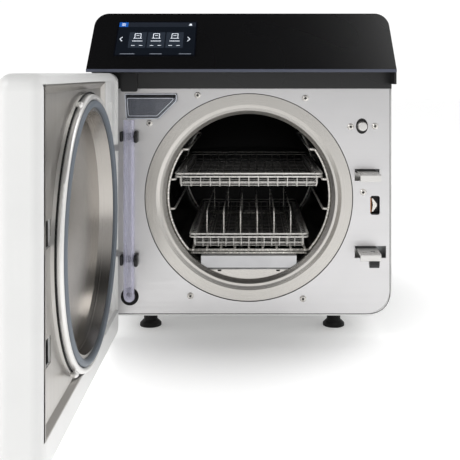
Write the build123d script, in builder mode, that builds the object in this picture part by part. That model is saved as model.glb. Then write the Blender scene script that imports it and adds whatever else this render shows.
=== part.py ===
from build123d import *
import os
from math import cos, pi, radians, sin, sqrt

os.makedirs("parts", exist_ok=True)

# Frame: X to the right, Y from the front to the back, Z up, millimetres.
# The origin is the centre of the front left foot's sole, on the bench.

# Cabinet
CABINET_WIDTH = 504
CABINET_DEPTH = 560
SHELL_BOTTOM = 40
SHELL_TOP = 424
SHELL_WALL = 2.5
SHELL_CORNER = 43
SEAM = 0.5
PANEL_SHEET = 1.5
PANEL_TOP = 421
PANEL_FRONT = -CABINET_DEPTH / 2
PANEL_BACK = PANEL_FRONT + PANEL_SHEET
CABINET_BACK = CABINET_DEPTH / 2
HALF_WIDTH = CABINET_WIDTH / 2
SHELL_INNER = HALF_WIDTH - SHELL_WALL
SHELL_FLOOR = SHELL_BOTTOM + SHELL_WALL
PANEL_HALF = SHELL_INNER - SEAM
PANEL_BOTTOM = SHELL_FLOOR + SEAM

# Levelling feet
FOOT_X = 162.5
FOOT_Y = 202
FOOT_PAD_DIAMETER = 38
FOOT_PAD_HEIGHT = 9
FOOT_STEM_DIAMETER = 12
FOOT_NUT_ACROSS = 22
FOOT_NUT_HEIGHT = 9
FOOT_STEM_FIT = 0.05
BASE_PLATE = 6

# Chamber
CHAMBER_X = 12
CHAMBER_Z = 238
BORE_RADIUS = 140
VESSEL_WALL = 3
VESSEL_LENGTH = 430
HEAD_DEPTH = 30
FLANGE_RADIUS = 174
FLANGE_THICKNESS = 8
FLANGE_SETBACK = 1
MOUTH_RADIUS = 150
MOUTH_DEPTH = 10
FLANGE_FRONT = PANEL_FRONT + FLANGE_SETBACK
VESSEL_BACK = FLANGE_FRONT + VESSEL_LENGTH
PANEL_HOLE_CLEARANCE = 0.5
PANEL_HOLE_RADIUS = FLANGE_RADIUS + PANEL_HOLE_CLEARANCE
JACKET_THICKNESS = 20

# Water dam, heater and its guard in the bottom of the chamber
DAM_TOP = 115
DAM_SHEET = 2
DAM_SETBACK = 12
DAM_FRONT = FLANGE_FRONT + DAM_SETBACK
DAM_BACK = DAM_FRONT + DAM_SHEET
BORE_SEAT = 0.3
NOTCH_WIDTH = 6
NOTCH_DEPTH = 4
GUARD_WIDTH = 162
GUARD_HEIGHT = 22
GUARD_DEPTH = 30
GUARD_SHEET = 2
GUARD_CORNER = 9
GUARD_TOP = DAM_TOP + GUARD_HEIGHT
HEATER_ROD = 8
HEATER_PITCH = 32
HEATER_SEAT = 0.3
HEATER_Z = CHAMBER_Z - sqrt(BORE_RADIUS**2 - HEATER_PITCH**2 / 4) + HEATER_ROD / 2 + HEATER_SEAT
HEATER_SETBACK = 30
HEATER_INSET = 60
HEATER_FRONT = DAM_BACK + HEATER_SETBACK
HEATER_BACK = VESSEL_BACK - HEATER_INSET

# Tray rack
RACK_WIRE = 4
SHELF_WIRES = 9
SHELF_PITCH = 24
RACK_FRONT = PANEL_FRONT + 18
RACK_LENGTH = 380
RACK_BACK = RACK_FRONT + RACK_LENGTH
SHELF_Z = 146
RACK_BAR_HEIGHT = 5
RAIL_LEVELS = (216, 266, 317)
RACK_WALL_GAP = 0.3
SIDE_BAR = 4

# Trays
TRAY_WIRE = 2
TRAY_STRIP = 8
TRAY_STRIP_SHEET = 2
WELD_GAP = 0.05
TRAY_LENGTH = 372
TRAY_SETBACK = 8
TRAY_FRONT = RACK_FRONT + TRAY_SETBACK
TRAY_BACK = TRAY_FRONT + TRAY_LENGTH
TRAY_OVERLAP = 0.2
TRAY_RAIL_GAP = 4.8
UPPER_TRAY_FLOOR = 253
LOWER_TRAY_WIDTH = 206
TRAY_DEPTH = 23
TRAY_FRONT_WIRES = 15
TRAY_CROSS_WIRES = 9
RUN_GAP = 0.5

# Pouch rack
POUCH_WIRE = 3
POUCH_DIVIDERS = 6
POUCH_PITCH = 29.5
POUCH_HEIGHT = 56
POUCH_LENGTH = 300

# Console
LIP_REACH = 52
LIP_BOTTOM = 448.6
LIP_HEIGHT = 5
CONSOLE_TOP = 550
CONSOLE_RUN = 90
CONSOLE_HALF = 251
CONSOLE_WALL = 3
CONSOLE_BACK = -150
CONSOLE_CORNER = 22
RECESS_WALL_STEP = 5
SKIRT_BOTTOM = 429
SKIRT_WALL = 3.5
LIP_FRONT = PANEL_FRONT - LIP_REACH
FACE_TOP_Y = LIP_FRONT + CONSOLE_RUN
FACE_BOTTOM_Z = LIP_BOTTOM + LIP_HEIGHT
SCREEN_WIDTH = 134.5
SCREEN_HEIGHT = 81.5
SCREEN_X = -143
SCREEN_UP = 70
SCREEN_THICKNESS = 3
SCREEN_PROUD = 0.8

# Door, drawn closed and turned to its open place at the end
PIVOT_X = -225
PIVOT_REACH = 33
PIVOT_Y = PANEL_FRONT - PIVOT_REACH
DOOR_EDGE_PAST_PIVOT = 16
DOOR_RIM_GAP = 10
DOOR_REACH = 469
DOOR_THICKNESS = 53
DOOR_BOTTOM = 14
DOOR_TOP = 447
DOOR_WALL = 3
DOOR_BACK_EDGE = 14
DOOR_FRONT_EDGE = 18
RIM_WIDTH = 12
RIM_HINGE_WIDTH = 8
RIM_FREE_WIDTH = 8
RIM_BOTTOM_WIDTH = 42
RING_CENTRE = CHAMBER_X - PIVOT_X
COVER_RECESS = 6.5
POCKET_RECESS = 14
POCKET_WIDTH = 38
DOOR_LEFT = PIVOT_X - DOOR_EDGE_PAST_PIVOT
DOOR_RIGHT = PIVOT_X + DOOR_REACH
DOOR_RIM_Y = PANEL_FRONT - DOOR_RIM_GAP
DOOR_FACE_Y = DOOR_RIM_Y - DOOR_THICKNESS
COVER_Y = DOOR_RIM_Y - COVER_RECESS
COVER_SHEET = 2
LINER_SHEET = 1
RING_X = PIVOT_X + RING_CENTRE
RING_RADIUS = 181
RING_WIDTH = 8
RING_GAP = 1.5
GASKET_OUTER = 172.5
GASKET_INNER = 163.5
GASKET_GAP = 0.3
DISH_DEPTH = 20
DISH_SHEET = 4
DOOR_OPEN_ANGLE = 90

# Hinge
HINGE_LEVELS = (324, 150)
ARM_WIDTH = 12
ARM_SHEET = 8
ARM_EYE = 9
ARM_ROOT = 26
HINGE_PIN = 5
HINGE_PIN_FIT = 0.05
LUG_PLATE = 12

# Latch
BRACKET_LEFT = 193.8
BRACKET_RIGHT = 227.4
BRACKET_REACH = 44
BRACKET_SHEET = 4
BRACKET_DROP = 12
BRACKET_TOPS = (282, 152.6)
SLOT_MARGIN = 4
SLOT_EXTRAS = (0, 11)
SLOT_CORNER = 4
DOOR_SLOT_MARGIN = 2.5
LATCH_HOLE = 10
LATCH_HOLE_SETBACK = 31
LATCH_HOLE_IN = PIVOT_REACH - LATCH_HOLE_SETBACK
LATCH_PIN = 8
LATCH_TRAVEL = 8
LATCH_PIN_CLEAR = 3
LATCH_PIN_REACH = 38
LATCH_BAR_WIDTH = 34
LATCH_BAR_SHEET = 5
HANDLE_Z = 217
HANDLE_LENGTH = 130
SPINDLE_RADIUS = 7
SPINDLE_FIT = 0.05

# Drawing planes. The left front foot stands on the origin, and the pieces are
# drawn about the middle of the cabinet.
CENTRE = Vector(FOOT_X, FOOT_Y, 0)
ALONG = Vector(1, 0, 0)
DEEP = Vector(0, 1, 0)
UP = Vector(0, 0, 1)
OPEN = radians(DOOR_OPEN_ANGLE)
DOOR_ALONG = Vector(cos(OPEN), -sin(OPEN), 0)
DOOR_IN = Vector(sin(OPEN), cos(OPEN), 0)


def front_at(y):
    """A plane that faces the front; its own x and y are X and Z."""
    return Plane(origin=CENTRE + Vector(0, y, 0), x_dir=ALONG, z_dir=-DEEP)


def level_at(z):
    """A level plane; its own x and y are X and Y."""
    return Plane(origin=CENTRE + Vector(0, 0, z), x_dir=ALONG, z_dir=UP)


def side_at(x):
    """A plane that faces right; its own x and y are Y and Z."""
    return Plane(origin=CENTRE + Vector(x, 0, 0), x_dir=DEEP, z_dir=ALONG)


def door_face(inward):
    """A plane along the door that faces its outside; x runs from the pivot to the free edge."""
    return Plane(
        origin=CENTRE + Vector(PIVOT_X, PIVOT_Y, 0) + DOOR_IN * inward,
        x_dir=DOOR_ALONG,
        z_dir=-DOOR_IN,
    )


def door_level(z):
    """A level plane in the door; x runs to the free edge and y towards the cabinet."""
    return Plane(origin=CENTRE + Vector(PIVOT_X, PIVOT_Y, z), x_dir=DOOR_ALONG, z_dir=UP)


def chord(radius, offset):
    """Half the width of a circle at a distance from its centre."""
    return sqrt(radius**2 - offset**2)


# Cabinet: outer shell, base plate, rear panel and feet
shell_height = SHELL_TOP - SHELL_BOTTOM
with BuildPart() as outer_shell:
    with BuildSketch(front_at(CABINET_BACK)) as shell_profile:
        with Locations((0, SHELL_BOTTOM + shell_height / 2)):
            Rectangle(CABINET_WIDTH, shell_height)
        fillet(shell_profile.vertices().group_by(Axis.Y)[0], SHELL_CORNER)
        with Locations((0, SHELL_FLOOR + shell_height)):
            RectangleRounded(2 * SHELL_INNER, 2 * shell_height, SHELL_CORNER - SHELL_WALL, mode=Mode.SUBTRACT)
    extrude(amount=CABINET_DEPTH)
    with BuildSketch(level_at(SHELL_BOTTOM)):
        with GridLocations(2 * FOOT_X, 2 * FOOT_Y, 2, 2):
            Circle(FOOT_STEM_DIAMETER / 2 + SEAM)
    extrude(amount=SHELL_WALL, mode=Mode.SUBTRACT)
outer_shell.part.label = "outer_shell"
export_step(outer_shell.part, "parts/outer_shell.step")

BASE_HALF = SHELL_INNER - SHELL_CORNER
with BuildPart() as base_plate:
    with BuildSketch(level_at(SHELL_FLOOR)):
        Rectangle(2 * BASE_HALF, CABINET_DEPTH - 2 * FOOT_PAD_DIAMETER)
        with GridLocations(2 * FOOT_X, 2 * FOOT_Y, 2, 2):
            Circle(FOOT_STEM_DIAMETER / 2 + FOOT_STEM_FIT, mode=Mode.SUBTRACT)
    extrude(amount=BASE_PLATE)
base_plate.part.label = "base_plate"
export_step(base_plate.part, "parts/base_plate.step")

FOOT_CORNERS = {
    "foot_front_left": (-FOOT_X, -FOOT_Y),
    "foot_front_right": (FOOT_X, -FOOT_Y),
    "foot_rear_left": (-FOOT_X, FOOT_Y),
    "foot_rear_right": (FOOT_X, FOOT_Y),
}
NUT_BOTTOM = SHELL_BOTTOM - SEAM - FOOT_NUT_HEIGHT
PAD_TAPER = 5
PAD_NECK = 12
for foot_name, (foot_x, foot_y) in FOOT_CORNERS.items():
    with BuildPart() as foot:
        with BuildSketch(level_at(0)):
            with Locations((foot_x, foot_y)):
                Circle(FOOT_PAD_DIAMETER / 2)
        extrude(amount=FOOT_PAD_HEIGHT)
        chamfer(foot.edges().group_by(Axis.Z)[-1], PAD_TAPER)
        with BuildSketch(level_at(FOOT_PAD_HEIGHT)):
            with Locations((foot_x, foot_y)):
                Circle(PAD_NECK)
        extrude(amount=NUT_BOTTOM - FOOT_PAD_HEIGHT)
        with BuildSketch(level_at(NUT_BOTTOM)):
            with Locations((foot_x, foot_y)):
                RegularPolygon(FOOT_NUT_ACROSS / 2, 6, major_radius=False)
        extrude(amount=FOOT_NUT_HEIGHT)
        with BuildSketch(level_at(NUT_BOTTOM + FOOT_NUT_HEIGHT)):
            with Locations((foot_x, foot_y)):
                Circle(FOOT_STEM_DIAMETER / 2)
        extrude(amount=SEAM + SHELL_WALL + BASE_PLATE)
    foot.part.label = foot_name
    export_step(foot.part, f"parts/{foot_name}.step")

REAR_SHEET = 2
REAR_INSET = 3
VENT_LENGTH = 60
VENT_HEIGHT = 4
VENT_PITCH_X = 80
VENT_PITCH_Z = 12
VENT_COLUMNS = 4
VENT_ROWS = 6
VENT_Z = 330
INLET_X = -150
INLET_Z = 110
INLET_WIDTH = 30
INLET_HEIGHT = 24
SWITCH_PITCH = 60
SWITCH_X = INLET_X + SWITCH_PITCH
SWITCH_WIDTH = 22
SWITCH_HEIGHT = 30
rear_top = SHELL_TOP - SEAM
rear_height = rear_top - PANEL_BOTTOM
with BuildPart() as rear_panel:
    with BuildSketch(front_at(CABINET_BACK - REAR_INSET)):
        with Locations((0, PANEL_BOTTOM + rear_height / 2)):
            RectangleRounded(2 * PANEL_HALF, rear_height, SHELL_CORNER - SHELL_WALL - SEAM)
        with Locations((0, PANEL_BOTTOM + 0.75 * rear_height)):
            Rectangle(2 * PANEL_HALF, rear_height / 2)
        with Locations((0, VENT_Z)):
            with GridLocations(VENT_PITCH_X, VENT_PITCH_Z, VENT_COLUMNS, VENT_ROWS):
                SlotOverall(VENT_LENGTH, VENT_HEIGHT, mode=Mode.SUBTRACT)
        with Locations((INLET_X, INLET_Z)):
            Rectangle(INLET_WIDTH, INLET_HEIGHT, mode=Mode.SUBTRACT)
        with Locations((SWITCH_X, INLET_Z)):
            Rectangle(SWITCH_WIDTH, SWITCH_HEIGHT, mode=Mode.SUBTRACT)
    extrude(amount=REAR_SHEET)
rear_panel.part.label = "rear_panel"
export_step(rear_panel.part, "parts/rear_panel.step")

# Front panel with the holes for the ring, funnel, plunger, brackets, lock and grommet
FUNNEL_TOP = 413
FUNNEL_OUTLINE = ((-196, 413), (-108, 413), (-108, 400), (-139, 370), (-193, 370))
FUNNEL_REACH = 8
FUNNEL_DEPTH = 24
FUNNEL_WALL = 2
FUNNEL_LIP_DROP = 7
PLUNGER_X = 202
PLUNGER_Z = 358
PLUNGER_SLOT_WIDTH = 20
PLUNGER_SLOT_HEIGHT = 26
LOCK_X = 224
LOCK_Z = 225
LOCK_SLOT_WIDTH = 16
LOCK_SLOT_HEIGHT = 32
TUBE_X = -188
TUBE_DIAMETER = 20
TUBE_WALL = 2
TUBE_TOP = 369
GROMMET_Z = 72
GROMMET_RADIUS = 15
bracket_mid_x = (BRACKET_LEFT + BRACKET_RIGHT) / 2
bracket_width = BRACKET_RIGHT - BRACKET_LEFT
slot_width = bracket_width + 2 * SLOT_MARGIN
slot_height = BRACKET_DROP + 2 * SLOT_MARGIN
door_slot_width = bracket_width + 2 * DOOR_SLOT_MARGIN
panel_height = PANEL_TOP - PANEL_BOTTOM
with BuildPart() as front_panel:
    with BuildSketch(front_at(PANEL_BACK)) as panel_sketch:
        with Locations((0, PANEL_BOTTOM + panel_height / 2)):
            Rectangle(2 * PANEL_HALF, panel_height)
        fillet(panel_sketch.vertices().group_by(Axis.Y)[0], SHELL_CORNER - SHELL_WALL - SEAM)
        with Locations((CHAMBER_X, CHAMBER_Z)):
            Circle(PANEL_HOLE_RADIUS, mode=Mode.SUBTRACT)
        with BuildLine():
            Polyline(*FUNNEL_OUTLINE, close=True)
        make_face(mode=Mode.SUBTRACT)
        with Locations((PLUNGER_X, PLUNGER_Z)):
            Ellipse(PLUNGER_SLOT_WIDTH / 2, PLUNGER_SLOT_HEIGHT / 2, mode=Mode.SUBTRACT)
        for bracket_top, slot_extra in zip(BRACKET_TOPS, SLOT_EXTRAS):
            with Locations((bracket_mid_x + slot_extra / 2, bracket_top - BRACKET_DROP / 2)):
                Rectangle(slot_width + slot_extra, slot_height, mode=Mode.SUBTRACT)
        with Locations((LOCK_X, LOCK_Z)):
            RectangleRounded(LOCK_SLOT_WIDTH, LOCK_SLOT_HEIGHT, SLOT_CORNER, mode=Mode.SUBTRACT)
        with Locations((TUBE_X, GROMMET_Z)):
            Circle(GROMMET_RADIUS - RUN_GAP * 4, mode=Mode.SUBTRACT)
        for hinge_z in HINGE_LEVELS:
            with Locations((PIVOT_X, hinge_z)):
                Rectangle(ARM_WIDTH + 2 * SLOT_MARGIN, ARM_SHEET + 2 * SEAM, mode=Mode.SUBTRACT)
    extrude(amount=PANEL_SHEET)
front_panel.part.label = "front_panel"
export_step(front_panel.part, "parts/front_panel.step")

# Chamber: flange ring, vessel, insulation, water dam, guard, heater and probe
BORE_AXIS = Axis(CENTRE + Vector(CHAMBER_X, 0, CHAMBER_Z), DEEP)
BORE_PLANE = Plane(origin=CENTRE + Vector(CHAMBER_X, 0, CHAMBER_Z), x_dir=ALONG, z_dir=UP)
FLANGE_STEP = 3
LANDING_RADIUS = 156
LANDING_INNER = 146
FLANGE_ROOT = FLANGE_FRONT + MOUTH_DEPTH + 4
with BuildPart() as chamber_flange:
    with BuildSketch(BORE_PLANE):
        with BuildLine():
            Polyline(
                (FLANGE_RADIUS, FLANGE_FRONT),
                (LANDING_RADIUS, FLANGE_FRONT),
                (MOUTH_RADIUS, FLANGE_FRONT + FLANGE_STEP),
                (LANDING_INNER, FLANGE_FRONT + FLANGE_STEP),
                (BORE_RADIUS, FLANGE_FRONT + MOUTH_DEPTH),
                (BORE_RADIUS, FLANGE_ROOT),
                (BORE_RADIUS + 2 * VESSEL_WALL, FLANGE_ROOT),
                (BORE_RADIUS + 2 * VESSEL_WALL + FLANGE_THICKNESS, FLANGE_FRONT + FLANGE_THICKNESS),
                (FLANGE_RADIUS, FLANGE_FRONT + FLANGE_THICKNESS),
                close=True,
            )
        make_face()
    revolve(axis=BORE_AXIS)
chamber_flange.part.label = "chamber_flange"
export_step(chamber_flange.part, "parts/chamber_flange.step")

vessel_outer = BORE_RADIUS + VESSEL_WALL
head_start = VESSEL_BACK - HEAD_DEPTH
head_radius = (vessel_outer**2 + HEAD_DEPTH**2) / (2 * HEAD_DEPTH)


def head_point(radius, inset=0):
    """A point of the domed head, at a radius from the bore's axis."""
    return (radius, VESSEL_BACK - inset - head_radius + sqrt(head_radius**2 - radius**2))


with BuildPart() as chamber_vessel:
    with BuildSketch(BORE_PLANE):
        with BuildLine():
            Line((vessel_outer, FLANGE_ROOT), (vessel_outer, head_start))
            ThreePointArc((vessel_outer, head_start), head_point(vessel_outer / 2), (0, VESSEL_BACK))
            Line((0, VESSEL_BACK), (0, VESSEL_BACK - VESSEL_WALL))
            ThreePointArc(
                (0, VESSEL_BACK - VESSEL_WALL),
                head_point(BORE_RADIUS / 2, VESSEL_WALL),
                (BORE_RADIUS, head_start),
            )
            Line((BORE_RADIUS, head_start), (BORE_RADIUS, FLANGE_ROOT))
            Line((BORE_RADIUS, FLANGE_ROOT), (vessel_outer, FLANGE_ROOT))
        make_face()
    revolve(axis=BORE_AXIS)
chamber_vessel.part.label = "chamber_vessel"
export_step(chamber_vessel.part, "parts/chamber_vessel.step")

JACKET_SETBACK = 12
jacket_front = FLANGE_ROOT + JACKET_SETBACK
with BuildPart() as insulation_jacket:
    with BuildSketch(front_at(head_start)):
        with Locations((CHAMBER_X, CHAMBER_Z)):
            Circle(vessel_outer + JACKET_THICKNESS)
            Circle(vessel_outer, mode=Mode.SUBTRACT)
    extrude(amount=head_start - jacket_front)
insulation_jacket.part.label = "insulation_jacket"
export_step(insulation_jacket.part, "parts/insulation_jacket.step")

dam_half = chord(BORE_RADIUS - BORE_SEAT, DAM_TOP - CHAMBER_Z)
with BuildPart() as water_dam:
    with BuildSketch(front_at(DAM_BACK)):
        with Locations((CHAMBER_X, CHAMBER_Z)):
            Circle(BORE_RADIUS)
        with Locations((CHAMBER_X, DAM_TOP + BORE_RADIUS)):
            Rectangle(2 * BORE_RADIUS, 2 * BORE_RADIUS, mode=Mode.SUBTRACT)
        with Locations((CHAMBER_X - dam_half * 0.75, DAM_TOP), (CHAMBER_X + dam_half * 0.75, DAM_TOP)):
            Rectangle(NOTCH_WIDTH, 2 * NOTCH_DEPTH, mode=Mode.SUBTRACT)
    extrude(amount=DAM_SHEET)
water_dam.part.label = "water_dam"
export_step(water_dam.part, "parts/water_dam.step")

with BuildPart() as heater_guard:
    with BuildSketch(front_at(DAM_FRONT + GUARD_DEPTH)):
        with Locations((CHAMBER_X, DAM_TOP + GUARD_HEIGHT / 2)):
            RectangleRounded(GUARD_WIDTH, GUARD_HEIGHT, GUARD_CORNER)
        with Locations((CHAMBER_X, DAM_TOP + GUARD_HEIGHT * 0.75)):
            Rectangle(GUARD_WIDTH, GUARD_HEIGHT / 2)
        with Locations((CHAMBER_X, CHAMBER_Z)):
            Circle(BORE_RADIUS - BORE_SEAT, mode=Mode.INTERSECT)
    extrude(amount=GUARD_DEPTH)
    offset(amount=-GUARD_SHEET, openings=heater_guard.faces().sort_by(Axis.Y)[-1])
heater_guard.part.label = "heater_guard"
export_step(heater_guard.part, "parts/heater_guard.step")

run_bend = HEATER_PITCH / 2
with BuildPart() as heating_element:
    with BuildLine(level_at(HEATER_Z)):
        Line((CHAMBER_X - run_bend, HEATER_BACK), (CHAMBER_X - run_bend, HEATER_FRONT))
        ThreePointArc(
            (CHAMBER_X - run_bend, HEATER_FRONT),
            (CHAMBER_X, HEATER_FRONT - run_bend),
            (CHAMBER_X + run_bend, HEATER_FRONT),
        )
        Line((CHAMBER_X + run_bend, HEATER_FRONT), (CHAMBER_X + run_bend, HEATER_BACK))
    with BuildSketch(front_at(HEATER_BACK)):
        with Locations((CHAMBER_X - run_bend, HEATER_Z)):
            Circle(HEATER_ROD / 2)
    sweep()
heating_element.part.label = "heating_element"
export_step(heating_element.part, "parts/heating_element.step")

PROBE_RADIUS = 3
PROBE_LENGTH = 40
with BuildPart() as temperature_probe:
    with BuildSketch(front_at(VESSEL_BACK)):
        with Locations((CHAMBER_X, CHAMBER_Z)):
            Circle(PROBE_RADIUS)
    extrude(amount=-PROBE_LENGTH)
temperature_probe.part.label = "temperature_probe"
export_step(temperature_probe.part, "parts/temperature_probe.step")

# Tray rack: shelf wires, cross bars, two hoops and three pairs of rails
hoop_outer = BORE_RADIUS - RACK_WALL_GAP
hoop_inner = hoop_outer - SIDE_BAR
hoop_middle = (hoop_outer + hoop_inner) / 2
SHELF_BAR = 3
STUB_LENGTH = 9
shelf_half = chord(hoop_inner, SHELF_Z - CHAMBER_Z)
hoop_places = (RACK_FRONT, RACK_BACK - SIDE_BAR)
with BuildPart() as tray_rack:
    with BuildSketch(front_at(RACK_BACK)):
        with Locations((CHAMBER_X, SHELF_Z)):
            with GridLocations(SHELF_PITCH, RACK_WIRE, SHELF_WIRES, 1):
                RegularPolygon(RACK_WIRE / 2, 8)
    extrude(amount=RACK_LENGTH)
    for hoop_y in hoop_places:
        with BuildSketch(front_at(hoop_y + SIDE_BAR)):
            with Locations((CHAMBER_X, CHAMBER_Z)):
                Circle(hoop_outer)
                Circle(hoop_inner, mode=Mode.SUBTRACT)
            with Locations((CHAMBER_X, SHELF_Z - RACK_WIRE / 2 - BORE_RADIUS)):
                Rectangle(2 * BORE_RADIUS, 2 * BORE_RADIUS, mode=Mode.SUBTRACT)
            with Locations((CHAMBER_X, RAIL_LEVELS[-1] + RACK_WIRE / 2 + BORE_RADIUS)):
                Rectangle(2 * BORE_RADIUS, 2 * BORE_RADIUS, mode=Mode.SUBTRACT)
            with Locations((CHAMBER_X, SHELF_Z - SHELF_BAR / 2)):
                Rectangle(2 * shelf_half, SHELF_BAR)
        extrude(amount=SIDE_BAR)
    for rail_z in RAIL_LEVELS:
        rail_outer = chord(hoop_middle, rail_z - CHAMBER_Z)
        rail_x = rail_outer - STUB_LENGTH
        with BuildSketch(front_at(RACK_BACK)):
            with Locations((CHAMBER_X - rail_x, rail_z), (CHAMBER_X + rail_x, rail_z)):
                RegularPolygon(RACK_WIRE / 2, 8)
        extrude(amount=RACK_LENGTH)
        stub_middle = (rail_x + rail_outer) / 2
        for hoop_y in hoop_places:
            with BuildSketch(front_at(hoop_y + SIDE_BAR)):
                with Locations((CHAMBER_X - stub_middle, rail_z), (CHAMBER_X + stub_middle, rail_z)):
                    Rectangle(STUB_LENGTH, RACK_WIRE)
            extrude(amount=SIDE_BAR)
tray_rack.part.label = "tray_rack"
export_step(tray_rack.part, "parts/tray_rack.step")

# Trays: a wire floor and four walls, with a strip round the top and a flange along each side.
# The floor and walls are separate solids a weld's hairline apart, so each can stay a thin collision piece.
RAIL_TOP = RAIL_LEVELS[1] + RACK_WIRE / 2
FLANGE_SEAT = 0.3
WIRE_SINK = 0.5
UPPER_FLANGE_Z = RAIL_TOP + FLANGE_SEAT
LOWER_FLOOR = SHELF_Z + RACK_WIRE / 2 + FLANGE_SEAT + TRAY_WIRE - WIRE_SINK
upper_rail = chord(hoop_middle, RAIL_LEVELS[1] - CHAMBER_Z) - STUB_LENGTH
upper_tray_width = 2 * (upper_rail + RACK_WIRE / 2 + TRAY_OVERLAP)
upper_tray_inside = 2 * (upper_rail - RACK_WIRE / 2 - TRAY_RAIL_GAP)
TRAYS = {
    "upper_tray": (upper_tray_width, upper_tray_inside, UPPER_TRAY_FLOOR, UPPER_FLANGE_Z),
    "lower_tray": (
        LOWER_TRAY_WIDTH,
        LOWER_TRAY_WIDTH - 2 * TRAY_STRIP,
        LOWER_FLOOR,
        LOWER_FLOOR + UPPER_FLANGE_Z - UPPER_TRAY_FLOOR,
    ),
}
PLATE_WIDTH = 18
PLATE_HEIGHT = 8
for tray_name, (tray_width, tray_inside, floor_z, flange_z) in TRAYS.items():
    top_z = flange_z + TRAY_STRIP
    wire_pitch = (tray_inside - TRAY_WIRE) / (TRAY_FRONT_WIRES - 1)
    cross_pitch = (TRAY_LENGTH - TRAY_STRIP) / (TRAY_CROSS_WIRES - 1)
    flange_width = (tray_width - tray_inside) / 2 + TRAY_WIRE
    flange_middle = (tray_width - flange_width) / 2
    post_foot = floor_z + TRAY_WIRE + WELD_GAP
    post_height = flange_z + TRAY_STRIP_SHEET - post_foot
    side_length = TRAY_LENGTH - 2 * (TRAY_WIRE + WELD_GAP)
    strip_middle = (tray_width - TRAY_STRIP_SHEET) / 2
    tray_middle = (TRAY_FRONT + TRAY_BACK) / 2
    with BuildPart() as tray:
        with BuildSketch(level_at(floor_z)):
            with Locations((CHAMBER_X, tray_middle)):
                with GridLocations(wire_pitch, 1, TRAY_FRONT_WIRES, 1):
                    Rectangle(TRAY_WIRE, TRAY_LENGTH)
        extrude(amount=TRAY_WIRE)
        with BuildSketch(level_at(floor_z - TRAY_WIRE + WIRE_SINK)):
            with Locations((CHAMBER_X, tray_middle)):
                with GridLocations(1, cross_pitch, 1, TRAY_CROSS_WIRES):
                    Rectangle(tray_inside, TRAY_WIRE)
        extrude(amount=TRAY_WIRE)
        with BuildSketch(level_at(post_foot)):
            with Locations((CHAMBER_X, tray_middle)):
                with GridLocations(tray_inside - TRAY_WIRE, cross_pitch, 2, TRAY_CROSS_WIRES):
                    Rectangle(TRAY_WIRE, TRAY_WIRE)
                with GridLocations(wire_pitch, TRAY_LENGTH - TRAY_WIRE, TRAY_FRONT_WIRES, 2):
                    Rectangle(TRAY_WIRE, TRAY_WIRE)
        extrude(amount=post_height)
        with BuildSketch(level_at(flange_z)):
            with Locations((CHAMBER_X - flange_middle, tray_middle), (CHAMBER_X + flange_middle, tray_middle)):
                Rectangle(flange_width, side_length)
        extrude(amount=TRAY_STRIP_SHEET)
        with BuildSketch(level_at(flange_z)):
            with Locations((CHAMBER_X - strip_middle, tray_middle), (CHAMBER_X + strip_middle, tray_middle)):
                Rectangle(TRAY_STRIP_SHEET, side_length)
            with Locations((CHAMBER_X, tray_middle)):
                with GridLocations(1, TRAY_LENGTH - TRAY_STRIP_SHEET, 1, 2):
                    Rectangle(tray_width, TRAY_STRIP_SHEET)
        extrude(amount=TRAY_STRIP)
        with BuildSketch(front_at(TRAY_FRONT + TRAY_WIRE)):
            with Locations((CHAMBER_X, (floor_z + flange_z) / 2)):
                Rectangle(PLATE_WIDTH, PLATE_HEIGHT)
        extrude(amount=TRAY_WIRE)
    tray.part.label = tray_name
    export_step(tray.part, f"parts/{tray_name}.step")

# Pouch rack: divider frames on two cross wires, standing in the lower tray
POUCH_SEAT = 0.2
pouch_floor = LOWER_FLOOR + TRAY_WIRE + POUCH_SEAT
pouch_middle = (TRAY_FRONT + TRAY_BACK) / 2
divider_height = POUCH_HEIGHT - POUCH_WIRE - WELD_GAP
with BuildPart() as pouch_rack:
    with BuildSketch(level_at(pouch_floor)):
        with Locations((CHAMBER_X, pouch_middle)):
            with GridLocations(1, POUCH_LENGTH * 0.8, 1, 2):
                Rectangle((POUCH_DIVIDERS - 1) * POUCH_PITCH + POUCH_WIRE, POUCH_WIRE)
    extrude(amount=POUCH_WIRE)
    for divider in range(POUCH_DIVIDERS):
        divider_x = CHAMBER_X + (divider - (POUCH_DIVIDERS - 1) / 2) * POUCH_PITCH
        with BuildSketch(side_at(divider_x - POUCH_WIRE / 2)) as divider_frame:
            with Locations((pouch_middle, pouch_floor + POUCH_HEIGHT - divider_height / 2)):
                RectangleRounded(POUCH_LENGTH, divider_height, 4 * POUCH_WIRE)
                RectangleRounded(
                    POUCH_LENGTH - 2 * POUCH_WIRE,
                    divider_height - 2 * POUCH_WIRE,
                    3 * POUCH_WIRE,
                    mode=Mode.SUBTRACT,
                )
        extrude(amount=POUCH_WIRE)
pouch_rack.part.label = "pouch_rack"
export_step(pouch_rack.part, "parts/pouch_rack.step")

# Fill funnel: a clear pocket that stands a little out of the panel, open at the top
with BuildPart() as fill_funnel:
    with BuildSketch(front_at(PANEL_FRONT + FUNNEL_DEPTH)):
        with BuildLine():
            Polyline(*FUNNEL_OUTLINE, close=True)
        make_face()
        offset(amount=-FLANGE_SEAT, kind=Kind.INTERSECTION)
    extrude(amount=FUNNEL_DEPTH + FUNNEL_REACH)
    offset(amount=-FUNNEL_WALL, openings=fill_funnel.faces().sort_by(Axis.Z)[-1])
    with BuildSketch(front_at(PANEL_FRONT)):
        with Locations(((FUNNEL_OUTLINE[0][0] + FUNNEL_OUTLINE[1][0]) / 2, FUNNEL_TOP)):
            Rectangle(FUNNEL_OUTLINE[1][0] - FUNNEL_OUTLINE[0][0], 2 * FUNNEL_LIP_DROP)
    extrude(amount=FUNNEL_REACH + 1, mode=Mode.SUBTRACT)
fill_funnel.part.label = "fill_funnel"
export_step(fill_funnel.part, "parts/fill_funnel.step")

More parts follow.
